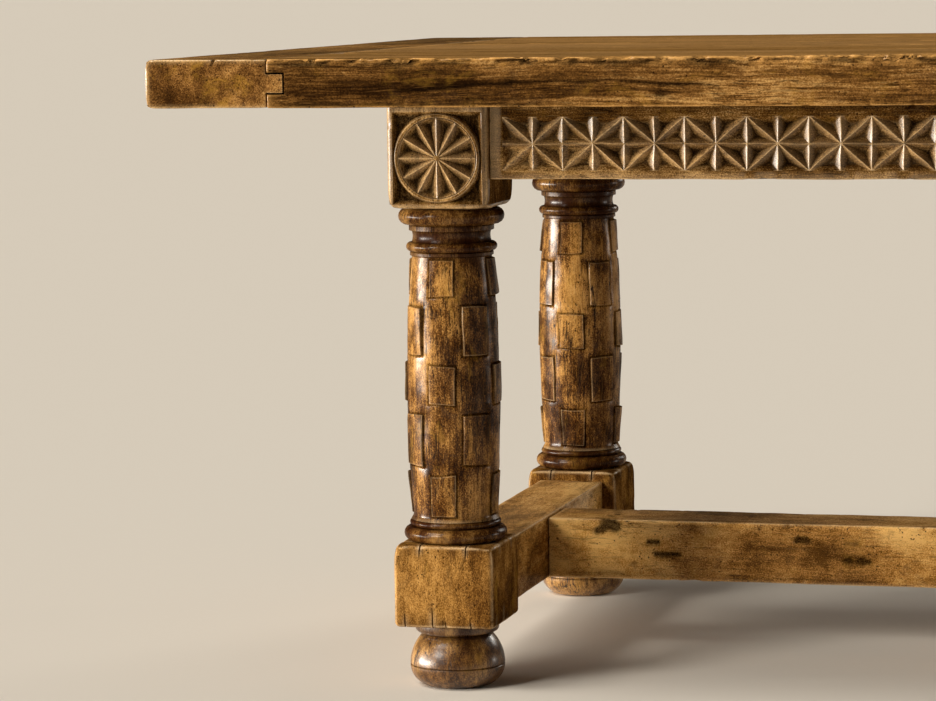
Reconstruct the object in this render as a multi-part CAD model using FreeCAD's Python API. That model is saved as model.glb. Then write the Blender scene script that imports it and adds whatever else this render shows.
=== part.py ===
import FreeCAD, Part
import math
import os

from FreeCAD import Vector

# Carved refectory table with a plank top on four turned legs.
# Millimetres. The origin is on the floor under the middle of the top,
# +X along the table, -Y towards the front, +Z up.

# The whole table
top_length = 3048.0
top_width = 1219.0
table_height = 762.0
top_thickness = 56.0
end_overhang = 222.0
side_overhang = 216.0

# Top boards: planks along the table, one end board across each end
plank_width_shares = (0.19, 0.21, 0.20, 0.22, 0.18)
board_ease = 1.5
end_board_width = 146.0
end_board_round = 3.0
tongue_thickness = 21.0
tongue_length = 19.0
tongue_clearance = 0.2

# Loose tongues between the planks, and pegs through the end boards' tongues
spline_thickness = 8.0
spline_width = 24.0
spline_clearance = 0.2
spline_end_gap = 6.0
peg_diameter = 10.0
peg_cover = 12.0
peg_clearance = 0.1

# Blocks at the head and the base of each leg
block_width = 124.0
block_round = 5.0
cap_low_round = 4.5
cap_block_height = 128.0
base_block_height = 100.0

# Carved wheel on each outer face of a cap block
wheel_panel_width = 103.0
wheel_panel_drop = 16.0
wheel_panel_depth = 7.0
wheel_ring_overlap = 0.8
wheel_ring_width = 5.0
wheel_hub_radius = 3.5
wheel_chip_depth = 8.0
wheel_ray_count = 12

# Turned column: mouldings from the base up, then the shaft between them
base_bead_height = 18.0
base_bead_diameter = 125.0
base_fillet_height = 8.0
base_fillet_diameter = 111.0
shaft_bottom_diameter = 100.0
shaft_middle_diameter = 112.0
shaft_top_diameter = 97.0
ring_fillet_height = 5.0
ring_fillet_diameter = 101.0
ring_height = 12.0
ring_diameter = 110.0
neck_height = 13.0
neck_diameter = 96.0
neck_hollow = 2.0
collar_fillet_height = 7.0
collar_fillet_diameter = 103.0
collar_height = 21.0
collar_diameter = 128.0

# Raised tiles on the shaft, in staggered columns
tile_rise = 2.5
tile_angle = 36.0
tile_column_count = 8
tile_root_share = 0.85
even_tile_shares = ((0.021, 0.180), (0.445, 0.596), (0.852, 0.992))
odd_tile_shares = ((0.213, 0.407), (0.631, 0.817))

# Spigots of the turned pieces
spigot_diameter = 45.0
cap_spigot_length = 32.0
spigot_clearance = 0.15
socket_end_gap = 1.5
socket_wall = 3.0

# Bun foot with a thin disc above it
bun_height = 65.0
bun_diameter = 115.0
bun_widest_height = 26.0
bun_base_diameter = 74.0
bun_neck_diameter = 80.0
bun_line_width = 2.0
bun_line_depth = 1.0
foot_disc_thickness = 12.0
foot_disc_diameter = 102.0
foot_disc_round = 8.0

# Aprons
apron_height = 93.0
apron_thickness = 34.0
apron_setback = 9.0
apron_tenon_thickness = 14.0
apron_tenon_length = 55.0
apron_tenon_shoulder = 12.0
joint_clearance = 0.2
mortise_end_gap = 2.0

# Chip-carved star band on the outer face of every apron
band_bottom_border = 10.5
band_height = 63.0
band_stile = 16.0
star_pitch = 73.5
ridge_width = 1.8
chip_depth = 7.5

# Stretchers
side_stretcher_width = 88.0
side_stretcher_height = 81.0
side_stretcher_lift = 6.0
side_tenon_thickness = 32.0
side_tenon_height = 40.0
side_tenon_length = 65.0
centre_stretcher_width = 92.0
centre_stretcher_height = 77.0
centre_stretcher_drop = 3.0
centre_tenon_thickness = 32.0
centre_tenon_height = 45.0
centre_tenon_length = 40.0
stretcher_round = 2.5

# Cross rails between the long aprons, under the planks
cross_rail_width = 45.0
cross_rail_height = 70.0
cross_tenon_thickness = 15.0
cross_tenon_length = 12.0
cross_tenon_shoulder = 10.0

# Buttons that hold the top down, and their screws
long_button_count = 6
end_button_count = 2
button_length = 45.0
button_width = 28.0
button_gap = 0.8
groove_drop = 14.0
groove_height = 9.0
groove_depth = 10.0
groove_clearance = 0.3
screw_length = 42.0
screw_diameter = 4.5
screw_head_diameter = 9.0
screw_head_height = 2.6
screw_clearance = 0.1
screw_place_share = 0.55

# How far a cutting tool runs past the face that it opens
overrun = 1.0

# Levels
UP = Vector(0, 0, 1)
ORIGIN = Vector(0, 0, 0)
base_block_bottom = bun_height + foot_disc_thickness
base_block_top = base_block_bottom + base_block_height
top_underside = table_height - top_thickness
cap_block_bottom = top_underside - cap_block_height
apron_bottom = top_underside - apron_height
groove_top = top_underside - groove_drop
groove_bottom = groove_top - groove_height
side_stretcher_bottom = base_block_bottom + side_stretcher_lift
side_stretcher_top = side_stretcher_bottom + side_stretcher_height
side_stretcher_middle = (side_stretcher_bottom + side_stretcher_top) / 2
centre_stretcher_top = side_stretcher_top - centre_stretcher_drop
centre_stretcher_middle = centre_stretcher_top - centre_stretcher_height / 2
wheel_middle = top_underside - wheel_panel_drop - wheel_panel_width / 2
shaft_bottom = base_block_top + base_bead_height + base_fillet_height
collar_bottom = cap_block_bottom - collar_height
neck_top = collar_bottom - collar_fillet_height
neck_bottom = neck_top - neck_height
ring_bottom = neck_bottom - ring_height
shaft_top = ring_bottom - ring_fillet_height

# Room for the spigots above and below the side stretchers' tenons
side_tenon_top = side_stretcher_middle + side_tenon_height / 2
side_tenon_bottom = side_stretcher_middle - side_tenon_height / 2
base_spigot_length = base_block_top - side_tenon_top - socket_end_gap - socket_wall
foot_spigot_length = side_tenon_bottom - base_block_bottom - socket_end_gap - socket_wall

# Places of the legs and the aprons
block_half = block_width / 2
leg_x = top_length / 2 - end_overhang - block_half
leg_y = top_width / 2 - side_overhang - block_half
long_apron_length = 2 * (leg_x - block_half)
end_apron_length = 2 * (leg_y - block_half)
apron_face = block_half - apron_setback
apron_inner = apron_face - apron_thickness
apron_middle = (apron_face + apron_inner) / 2
long_button_step = long_apron_length / long_button_count
end_button_step = end_apron_length / end_button_count
button_thickness = groove_drop + groove_height - groove_clearance
screw_inset = button_gap + button_length * screw_place_share

# Where the planks stop and the end boards start
joint_x = top_length / 2 - end_board_width
board_middle = (table_height + top_underside) / 2
plank_edges = [-top_width / 2]
for width_share in plank_width_shares:
    plank_edges.append(plank_edges[-1] + top_width * width_share)


def span(x_low, x_high, y_low, y_high, z_low, z_high):
    """Box between three pairs of planes."""
    low_corner = Vector(x_low, y_low, z_low)
    return Part.makeBox(x_high - x_low, y_high - y_low, z_high - z_low, low_corner)


def edges_along(solid, direction, keep=lambda middle: True):
    """Straight edges of a solid along a direction, at the places that keep allows."""
    found = []
    for edge in solid.Edges:
        run = edge.tangentAt(edge.FirstParameter)
        if abs(abs(run.dot(direction)) - 1) < 1e-6 and keep(edge.CenterOfMass):
            found.append(edge)
    return found


def turned(shape, angle):
    """Copy of a shape turned about the vertical axis."""
    return shape.rotated(ORIGIN, UP, angle)


def upright_cylinder(diameter, x, y, z_low, z_high):
    """Cylinder on a vertical axis."""
    return Part.makeCylinder(diameter / 2, z_high - z_low, Vector(x, y, z_low), UP)


def line(start, end):
    """Straight edge in the plane of a turned profile, from (radius, height) pairs."""
    return Part.makeLine(Vector(start[0], 0, start[1]), Vector(end[0], 0, end[1]))


def arc(start, middle, end):
    """Arc through three (radius, height) pairs."""
    places = [Vector(radius, 0, height) for radius, height in (start, middle, end)]
    return Part.Arc(*places).toShape()


def revolved(edges):
    """Solid of revolution about Z of a closed profile that lies on X and Z."""
    return Part.Face(Part.Wire(edges)).revolve(ORIGIN, UP, 360)


def pyramid(base, tip):
    """Solid with a triangular base and a tip, the shape of one carved chip."""
    faces = [Part.Face(Part.makePolygon([*base, base[0]]))]
    for start, end in zip(base, base[1:] + base[:1]):
        faces.append(Part.Face(Part.makePolygon([start, end, tip, start])))
    solid = Part.Solid(Part.Shell(faces))
    if solid.Volume < 0:
        solid.reverse()
    return solid


def carved_chip(corners, face_y, depth):
    """Chip cut into a face that looks along -Y, inside the ridges around three corners.

    The corners are (x, z) pairs. The chip is deepest where it is equally far from its sides.
    """
    sides = [math.dist(corners[i - 2], corners[i - 1]) for i in range(3)]
    around = sum(sides)
    centre = [sum(side * corner[k] for side, corner in zip(sides, corners)) / around for k in (0, 1)]
    half = around / 2
    inner_radius = math.sqrt((half - sides[0]) * (half - sides[1]) * (half - sides[2]) / half)
    shrink = 1 - ridge_width / 2 / inner_radius
    base = []
    for x, z in corners:
        inset_x = centre[0] + (x - centre[0]) * shrink
        inset_z = centre[1] + (z - centre[1]) * shrink
        base.append(Vector(inset_x, face_y, inset_z))
    return pyramid(base, Vector(centre[0], face_y + depth, centre[1]))


# The top

def top_plank(index):
    """One plank, grooved at both ends for the tongues and along the edges for the splines."""
    y_low = plank_edges[index]
    y_high = plank_edges[index + 1]
    plank = span(-joint_x, joint_x, y_low, y_high, top_underside, table_height)
    plank = plank.makeFillet(board_ease, plank.Edges)
    half_groove = tongue_thickness / 2 + tongue_clearance
    groove_floor = joint_x - tongue_length - tongue_clearance
    half_spline = spline_thickness / 2 + spline_clearance
    spline_reach = spline_width / 2 + spline_clearance
    tools = []
    for side in (-1, 1):
        ends = sorted((side * groove_floor, side * (joint_x + overrun)))
        tools.append(span(*ends, y_low - overrun, y_high + overrun,
                          board_middle - half_groove, board_middle + half_groove))
    for edge in (y_low, y_high):
        if abs(edge) < top_width / 2 - spline_width:
            tools.append(span(-joint_x - overrun, joint_x + overrun, edge - spline_reach, edge + spline_reach,
                              board_middle - half_spline, board_middle + half_spline))
    tools += peg_holes() + screw_holes()
    return plank.cut(tools)


def end_board(side):
    """Board across the plank ends, with a tongue along its inner edge."""
    outer = top_length / 2
    board = span(joint_x, outer, -top_width / 2, top_width / 2, top_underside, table_height)
    along = Vector(0, 1, 0)
    middle = (joint_x + outer) / 2
    board = board.makeFillet(end_board_round, edges_along(board, along, lambda place: place.x > middle))
    joint_edges = edges_along(board, along, lambda place: place.x < joint_x + board_ease)
    board = board.makeFillet(board_ease, joint_edges)
    tongue = span(joint_x - tongue_length, joint_x + end_board_round, -top_width / 2, top_width / 2,
                  board_middle - tongue_thickness / 2, board_middle + tongue_thickness / 2)
    board = board.fuse(tongue).removeSplitter()
    if side < 0:
        board = turned(board, 180)
    return board.cut(peg_holes())


def peg_places():
    """Centre of each peg: one in every plank, through the tongue at each end."""
    centres = [(low + high) / 2 for low, high in zip(plank_edges, plank_edges[1:])]
    return [(side * (joint_x - tongue_length / 2), y) for side in (-1, 1) for y in centres]


def peg_holes():
    """Blind holes from the underside for the pegs."""
    high = table_height - peg_cover + peg_clearance
    bore = peg_diameter + 2 * peg_clearance
    return [upright_cylinder(bore, x, y, top_underside - overrun, high) for x, y in peg_places()]


def end_board_pegs():
    """Pegs that lock the end boards' tongues, flush with the underside."""
    high = table_height - peg_cover
    pegs = [upright_cylinder(peg_diameter, x, y, top_underside, high) for x, y in peg_places()]
    return Part.makeCompound(pegs)


def plank_splines():
    """Loose tongues in the grooves between the planks."""
    reach = joint_x - tongue_length - tongue_clearance - spline_end_gap
    strips = []
    for edge in plank_edges[1:-1]:
        strips.append(span(-reach, reach, edge - spline_width / 2, edge + spline_width / 2,
                           board_middle - spline_thickness / 2, board_middle + spline_thickness / 2))
    return Part.makeCompound(strips)


# The legs

def wheel_carving(face_y, middle_z):
    """Cutters of the carved wheel on a face that looks along -Y."""
    half_panel = wheel_panel_width / 2
    ring_radius = half_panel + wheel_ring_overlap
    ray_radius = ring_radius - wheel_ring_width
    panel = span(-half_panel, half_panel, face_y - overrun, face_y + wheel_panel_depth,
                 middle_z - half_panel, middle_z + half_panel)
    deep = wheel_panel_depth + 2 * overrun
    disc = Part.makeCylinder(ring_radius, deep, Vector(0, face_y - overrun, middle_z), Vector(0, 1, 0))
    cutters = [panel.cut(disc)]
    step = 2 * math.pi / wheel_ray_count
    for ray in range(wheel_ray_count):
        corners = []
        for radius, turn in ((wheel_hub_radius, 0.5), (ray_radius, 0), (ray_radius, 1)):
            angle = (ray + turn) * step
            corners.append((radius * math.sin(angle), middle_z + radius * math.cos(angle)))
        cutters.append(carved_chip(corners, face_y, wheel_chip_depth))
    return cutters


def cap_block():
    """Head block of the front left leg: carved in front and at the end, mortised behind."""
    block = span(-block_half, block_half, -block_half, block_half, cap_block_bottom, top_underside)
    block = block.makeFillet(block_round, edges_along(block, UP))
    low_edges = [edge for edge in block.Edges if edge.BoundBox.ZMax < cap_block_bottom + overrun]
    block = block.makeFillet(cap_low_round, low_edges)
    half_tenon = apron_tenon_thickness / 2 + joint_clearance
    mortise = span(block_half - apron_tenon_length - mortise_end_gap, block_half + overrun,
                   -apron_middle - half_tenon, -apron_middle + half_tenon,
                   apron_bottom + apron_tenon_shoulder - joint_clearance,
                   top_underside - apron_tenon_shoulder + joint_clearance)
    wheel = Part.makeCompound(wheel_carving(-block_half, wheel_middle))
    socket = upright_cylinder(spigot_diameter + 2 * spigot_clearance, 0, 0, cap_block_bottom - overrun,
                              cap_block_bottom + cap_spigot_length + socket_end_gap)
    mirrored = mortise.mirror(ORIGIN, Vector(1, -1, 0))
    tools = [mortise, mirrored, socket]
    tools += wheel.Solids
    tools += turned(wheel, -90).Solids
    return block.cut(tools)


def base_block():
    """Base block of a front leg, with sockets for column and foot and a mortise behind."""
    block = span(-block_half, block_half, -block_half, block_half, base_block_bottom, base_block_top)
    block = block.makeFillet(block_round, block.Edges)
    bore = spigot_diameter + 2 * spigot_clearance
    half_width = side_tenon_thickness / 2 + joint_clearance
    column_socket_floor = base_block_top - base_spigot_length - socket_end_gap
    foot_socket_end = base_block_bottom + foot_spigot_length + socket_end_gap
    tools = [
        upright_cylinder(bore, 0, 0, column_socket_floor, base_block_top + overrun),
        upright_cylinder(bore, 0, 0, base_block_bottom - overrun, foot_socket_end),
        span(-half_width, half_width, block_half - side_tenon_length - mortise_end_gap, block_half + overrun,
             side_tenon_bottom - joint_clearance, side_tenon_top + joint_clearance),
    ]
    return block.cut(tools)


def bead(radius, low, height):
    """Half-round moulding of a turned profile, and the radius that it springs from."""
    core = radius - height / 2
    return arc((core, low), (radius, low + height / 2), (core, low + height)), core


shaft_curve = arc((shaft_bottom_diameter / 2, shaft_bottom),
                  (shaft_middle_diameter / 2, (shaft_bottom + shaft_top) / 2),
                  (shaft_top_diameter / 2, shaft_top))


def shaft_radius(height):
    """Radius of the swelling shaft at a height."""
    from_centre = height - shaft_curve.Curve.Center.z
    return shaft_curve.Curve.Center.x + math.sqrt(shaft_curve.Curve.Radius ** 2 - from_centre ** 2)


def column_tile(low, high):
    """One raised tile of the shaft, centred on the -Y direction."""
    root = shaft_radius(low) * tile_root_share
    middle = (low + high) / 2
    places = [(shaft_radius(z) + tile_rise, z) for z in (low, middle, high)]
    edges = [
        line((root, low), places[0]),
        arc(*places),
        line(places[2], (root, high)),
        line((root, high), (root, low)),
    ]
    tile = Part.Face(Part.Wire(edges)).revolve(ORIGIN, UP, tile_angle)
    return turned(tile, -90 - tile_angle / 2)


def leg_column():
    """Turned column from the base block to the cap block, with its tiles."""
    spigot = spigot_diameter / 2
    base_bead, base_core = bead(base_bead_diameter / 2, base_block_top, base_bead_height)
    ring, ring_core = bead(ring_diameter / 2, ring_bottom, ring_height)
    collar, collar_core = bead(collar_diameter / 2, collar_bottom, collar_height)
    base_fillet = base_fillet_diameter / 2
    ring_fillet = ring_fillet_diameter / 2
    neck = neck_diameter / 2
    collar_fillet = collar_fillet_diameter / 2
    bead_top = base_block_top + base_bead_height
    spigot_low = base_block_top - base_spigot_length
    spigot_high = cap_block_bottom + cap_spigot_length
    hollow = (neck - neck_hollow, (neck_bottom + neck_top) / 2)
    edges = [
        line((0, spigot_low), (spigot, spigot_low)),
        line((spigot, spigot_low), (spigot, base_block_top)),
        line((spigot, base_block_top), (base_core, base_block_top)),
        base_bead,
        line((base_core, bead_top), (base_fillet, bead_top)),
        line((base_fillet, bead_top), (base_fillet, shaft_bottom)),
        line((base_fillet, shaft_bottom), (shaft_bottom_diameter / 2, shaft_bottom)),
        shaft_curve,
        line((shaft_top_diameter / 2, shaft_top), (ring_fillet, shaft_top)),
        line((ring_fillet, shaft_top), (ring_fillet, ring_bottom)),
        line((ring_fillet, ring_bottom), (ring_core, ring_bottom)),
        ring,
        line((ring_core, neck_bottom), (neck, neck_bottom)),
        arc((neck, neck_bottom), hollow, (neck, neck_top)),
        line((neck, neck_top), (collar_fillet, neck_top)),
        line((collar_fillet, neck_top), (collar_fillet, collar_bottom)),
        line((collar_fillet, collar_bottom), (collar_core, collar_bottom)),
        collar,
        line((collar_core, cap_block_bottom), (spigot, cap_block_bottom)),
        line((spigot, cap_block_bottom), (spigot, spigot_high)),
        line((spigot, spigot_high), (0, spigot_high)),
        line((0, spigot_high), (0, spigot_low)),
    ]
    column = revolved(edges)
    shaft_length = shaft_top - shaft_bottom
    tiles = []
    for tile_column in range(tile_column_count):
        rows = odd_tile_shares if tile_column % 2 else even_tile_shares
        for shares in rows:
            tile = column_tile(*(shaft_bottom + shaft_length * share for share in shares))
            tiles.append(turned(tile, tile_column * 360 / tile_column_count))
    return column.fuse(tiles)


def swelling(radius, height):
    """Arc of the bun from its widest circle to an end circle."""
    widest = bun_diameter / 2
    rise = height - bun_widest_height
    shrink = widest - radius
    curve = (shrink ** 2 + rise ** 2) / (2 * shrink)
    half_turn = math.asin(rise / curve) / 2
    middle = (widest - curve + curve * math.cos(half_turn), bun_widest_height + curve * math.sin(half_turn))
    return arc((widest, bun_widest_height), middle, (radius, height))


def bun_line():
    """Cutter of the thin line scored round the bun where it is widest."""
    tip = (bun_diameter / 2 - bun_line_depth, bun_widest_height)
    outside = bun_diameter / 2 + overrun
    spread = bun_line_width / 2 * (outside - tip[0]) / bun_line_depth
    low = (outside, bun_widest_height - spread)
    high = (outside, bun_widest_height + spread)
    return revolved([line(tip, low), line(low, high), line(high, tip)])


def bun_foot():
    """Turned foot: bun, disc and spigot in one piece."""
    base = bun_base_diameter / 2
    neck = bun_neck_diameter / 2
    disc = foot_disc_diameter / 2
    spigot = spigot_diameter / 2
    spigot_high = base_block_bottom + foot_spigot_length
    disc_low = bun_height + foot_disc_round
    rounded = foot_disc_round * (1 - math.sqrt(0.5))
    edges = [
        line((0, 0), (base, 0)),
        swelling(base, 0),
        swelling(neck, bun_height),
        line((neck, bun_height), (disc - foot_disc_round, bun_height)),
        arc((disc - foot_disc_round, bun_height), (disc - rounded, bun_height + rounded),
            (disc, disc_low)),
        line((disc, disc_low), (disc, base_block_bottom)),
        line((disc, base_block_bottom), (spigot, base_block_bottom)),
        line((spigot, base_block_bottom), (spigot, spigot_high)),
        line((spigot, spigot_high), (0, spigot_high)),
        line((0, spigot_high), (0, 0)),
    ]
    return revolved(edges).cut(bun_line())


# The aprons

def star_band(length):
    """Chips of the star band on the face of an apron that looks along -Y."""
    band_length = length - 2 * band_stile
    star_count = max(1, round(band_length / star_pitch))
    half_pitch = band_length / star_count / 2
    middle = apron_bottom + band_bottom_border + band_height / 2
    chips = []
    for cell in range(2 * star_count):
        left = cell * half_pitch - band_length / 2
        right = left + half_pitch
        node, star = (left, right) if cell % 2 == 0 else (right, left)
        for side in (-1, 1):
            border = middle + side * band_height / 2
            for square_corner in ((node, middle), (star, border)):
                corners = [square_corner, (star, middle), (node, border)]
                chips.append(carved_chip(corners, -apron_face, chip_depth))
    return chips


def apron(length, rail_places):
    """Apron that looks along -Y, drawn as if it ran past the middle of a leg."""
    half = length / 2
    board = span(-half, half, -apron_face, -apron_inner, apron_bottom, top_underside)
    half_tenon = apron_tenon_thickness / 2
    tenons = span(-half - apron_tenon_length, half + apron_tenon_length,
                  -apron_middle - half_tenon, -apron_middle + half_tenon,
                  apron_bottom + apron_tenon_shoulder, top_underside - apron_tenon_shoulder)
    board = board.fuse(tenons).removeSplitter()
    groove = span(-half, half, -apron_inner - groove_depth, -apron_inner + overrun, groove_bottom, groove_top)
    half_rail = cross_tenon_thickness / 2 + joint_clearance
    tools = star_band(length) + [groove]
    for x in rail_places:
        tools.append(span(x - half_rail, x + half_rail,
                          -apron_inner - cross_tenon_length - joint_clearance, -apron_inner + overrun,
                          top_underside - cross_rail_height + cross_tenon_shoulder - joint_clearance,
                          top_underside - cross_tenon_shoulder + joint_clearance))
    return board.cut(tools)


def cross_rail(x):
    """Rail under the planks from one long apron to the other."""
    reach = leg_y + apron_inner
    low = top_underside - cross_rail_height
    rail = span(x - cross_rail_width / 2, x + cross_rail_width / 2, -reach, reach, low, top_underside)
    tenon_reach = reach + cross_tenon_length
    tenon = span(x - cross_tenon_thickness / 2, x + cross_tenon_thickness / 2, -tenon_reach, tenon_reach,
                 low + cross_tenon_shoulder, top_underside - cross_tenon_shoulder)
    return rail.fuse(tenon).removeSplitter()


# The stretchers

def side_stretcher():
    """Stretcher between two base blocks, mortised on its +X side for the centre stretcher."""
    half = leg_y - block_half
    half_width = side_stretcher_width / 2
    bar = span(-half_width, half_width, -half, half, side_stretcher_bottom, side_stretcher_top)
    bar = bar.makeFillet(stretcher_round, edges_along(bar, Vector(0, 1, 0)))
    reach = half + side_tenon_length
    tenon = span(-side_tenon_thickness / 2, side_tenon_thickness / 2, -reach, reach,
                 side_tenon_bottom, side_tenon_top)
    half_mortise = centre_tenon_thickness / 2 + joint_clearance
    tall = centre_tenon_height / 2 + joint_clearance
    mortise = span(half_width - centre_tenon_length - mortise_end_gap, half_width + overrun,
                   -half_mortise, half_mortise,
                   centre_stretcher_middle - tall, centre_stretcher_middle + tall)
    return bar.fuse(tenon).removeSplitter().cut(mortise)


def centre_stretcher():
    """Stretcher along the table between the two side stretchers."""
    half = leg_x - side_stretcher_width / 2
    half_width = centre_stretcher_width / 2
    bar = span(-half, half, -half_width, half_width,
               centre_stretcher_top - centre_stretcher_height, centre_stretcher_top)
    bar = bar.makeFillet(stretcher_round, edges_along(bar, Vector(1, 0, 0)))
    reach = half + centre_tenon_length
    half_tenon = centre_tenon_thickness / 2
    tall = centre_tenon_height / 2
    tenon = span(-reach, reach, -half_tenon, half_tenon,
                 centre_stretcher_middle - tall, centre_stretcher_middle + tall)
    return bar.fuse(tenon).removeSplitter()


# The buttons and screws under the top

def button_places():
    """Each button's turn about the vertical, its apron's inner face and its place along it."""
    places = []
    for angle, leg, step, count in ((0, leg_y, long_button_step, long_button_count),
                                    (90, leg_x, end_button_step, end_button_count),
                                    (180, leg_y, long_button_step, long_button_count),
                                    (270, leg_x, end_button_step, end_button_count)):
        for index in range(count):
            places.append((angle, -leg - apron_inner, (index - (count - 1) / 2) * step))
    return places


def button_screw(along, inner_face, clearance, past_tip):
    """Countersunk screw up through a button, or with a clearance the hole for one."""
    low = top_underside - button_thickness
    y = inner_face + screw_inset
    wide = screw_head_diameter / 2 + clearance
    thin = screw_diameter / 2 + clearance
    head = Part.makeCone(wide, thin, screw_head_height, Vector(along, y, low), UP)
    shank = upright_cylinder(2 * thin, along, y, low, low + screw_length + past_tip)
    return head.fuse(shank).removeSplitter()


def top_button(along, inner_face):
    """Wooden button with its lip in the apron's groove."""
    low = top_underside - button_thickness
    left = along - button_width / 2
    right = along + button_width / 2
    near = inner_face + button_gap
    body = span(left, right, near, near + button_length, low, top_underside)
    lip = span(left, right, inner_face - groove_depth + groove_clearance, near + button_length,
               low, groove_top - groove_clearance)
    hole = button_screw(along, inner_face, screw_clearance, overrun)
    return body.fuse(lip).removeSplitter().cut(hole)


def top_buttons():
    """All the buttons round the frame."""
    buttons = [turned(top_button(along, face), angle) for angle, face, along in button_places()]
    return Part.makeCompound(buttons)


def button_screws():
    """All the screws through the buttons."""
    screws = [turned(button_screw(along, face, 0, 0), angle) for angle, face, along in button_places()]
    return Part.makeCompound(screws)


def screw_holes():
    """Holes in the planks for the button screws."""
    return [turned(button_screw(along, face, screw_clearance, overrun), angle)
            for angle, face, along in button_places()]


# Every node of the table
nodes = {}
for index in range(len(plank_width_shares)):
    nodes["top_plank_%d" % (index + 1)] = top_plank(index)
nodes["plank_splines"] = plank_splines()
nodes["end_board_left"] = end_board(-1)
nodes["end_board_right"] = end_board(1)
nodes["end_board_pegs"] = end_board_pegs()

# The front left leg's pieces serve every corner, and its blocks are turned to look outwards
cap, column, base, foot = cap_block(), leg_column(), base_block(), bun_foot()
corners = {"front_left": (-1, -1, 0), "front_right": (1, -1, 90),
           "back_right": (1, 1, 180), "back_left": (-1, 1, 270)}
for corner, (side_x, side_y, angle) in corners.items():
    place = Vector(side_x * leg_x, side_y * leg_y, 0)
    nodes["cap_block_" + corner] = turned(cap, angle).translated(place)
    nodes["leg_column_" + corner] = column.translated(place)
    nodes["base_block_" + corner] = turned(base, 0 if side_y < 0 else 180).translated(place)
    nodes["bun_foot_" + corner] = foot.translated(place)

rails = (-long_button_step, long_button_step)
long_apron = apron(long_apron_length, rails)
end_apron = apron(end_apron_length, ())
nodes["front_apron"] = long_apron.translated(Vector(0, -leg_y, 0))
nodes["back_apron"] = turned(long_apron, 180).translated(Vector(0, leg_y, 0))
nodes["left_apron"] = turned(end_apron, -90).translated(Vector(-leg_x, 0, 0))
nodes["right_apron"] = turned(end_apron, 90).translated(Vector(leg_x, 0, 0))
nodes["cross_rail_left"] = cross_rail(rails[0])
nodes["cross_rail_right"] = cross_rail(rails[1])

side_bar = side_stretcher()
nodes["side_stretcher_left"] = side_bar.translated(Vector(-leg_x, 0, 0))
nodes["side_stretcher_right"] = turned(side_bar, 180).translated(Vector(leg_x, 0, 0))
nodes["centre_stretcher"] = centre_stretcher()
nodes["top_buttons"] = top_buttons()
nodes["button_screws"] = button_screws()

os.makedirs("parts", exist_ok=True)
for name, shape in nodes.items():
    shape.exportStep("parts/%s.step" % name)
    print(name, len(shape.Solids), "solids", shape.isValid())
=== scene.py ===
import math

import bmesh
import bpy
import numpy as np
from mathutils import Matrix, Vector


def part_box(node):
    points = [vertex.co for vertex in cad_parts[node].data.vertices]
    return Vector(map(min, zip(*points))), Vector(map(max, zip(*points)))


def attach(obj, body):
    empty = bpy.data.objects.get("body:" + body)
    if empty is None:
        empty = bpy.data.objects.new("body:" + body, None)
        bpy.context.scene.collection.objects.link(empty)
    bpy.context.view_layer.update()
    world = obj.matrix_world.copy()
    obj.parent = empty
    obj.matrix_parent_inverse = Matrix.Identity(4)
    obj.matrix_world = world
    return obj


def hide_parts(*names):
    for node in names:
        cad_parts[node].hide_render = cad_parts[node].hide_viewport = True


# Looks of the carved refectory table. Metres, in the frame of the CAD model:
# +X along the table, -Y towards the front, +Z up, the floor at zero.

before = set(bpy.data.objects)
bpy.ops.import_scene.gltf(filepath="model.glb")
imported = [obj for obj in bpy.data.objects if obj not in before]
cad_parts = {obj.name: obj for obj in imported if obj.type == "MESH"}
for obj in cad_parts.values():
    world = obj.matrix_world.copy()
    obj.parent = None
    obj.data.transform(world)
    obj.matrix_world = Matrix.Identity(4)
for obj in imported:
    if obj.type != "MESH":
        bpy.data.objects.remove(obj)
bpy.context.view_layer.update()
corner_turns = {"front_left": 0, "front_right": 90, "back_right": 180, "back_left": 270}

# Lattices: a hair's breadth, the distance within which points are welded, an edge distance without wear,
# and the steps along the three axes
hair = 1e-9
weld_distance = 2e-5
far_from_arris = 0.05
plank_steps = (0.014, 0.013, 0.010)
front_plank_steps = (0.0055, 0.013, 0.006)
board_steps = (0.004, 0.008, 0.0030)
cap_steps = (0.02, 0.02, 0.006)
base_steps = (0.004, 0.004, 0.004)
apron_steps = (0.0062, 0.012, 0.006)
stretcher_steps = (0.006, 0.006, 0.003)

# Weathering of the pieces: depths of rubbed arrises, of knocks and of dents
plank_weather = (0.0005, 0.0012, 0.0003)
board_weather = (0.0006, 0.0014, 0.0004)
cap_weather = (0.0008, 0.0022, 0.0003)
column_weather = (0.0, 0.0, 0.0006)
base_weather = (0.0006, 0.0012, 0.0004)
foot_weather = (0.0, 0.0, 0.0005)
apron_weather = (0.0006, 0.0016, 0.0003)
stretcher_weather = (0.0005, 0.0012, 0.0004)

# Wear of every piece: the size of its blotches and its reach from an arris
rub_blotch = 0.055
rub_reach = 0.006
knock_blotch = 0.017
knock_reach = 0.008
dent_blotch = 0.030
uneven_blotch = 0.130
patch_blotch = 0.040
streak_blotch = 0.027
streak_shrink = 0.06
smoke_line = 0.006
smoke_reach = 0.007
smoke_start = 0.003

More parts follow.
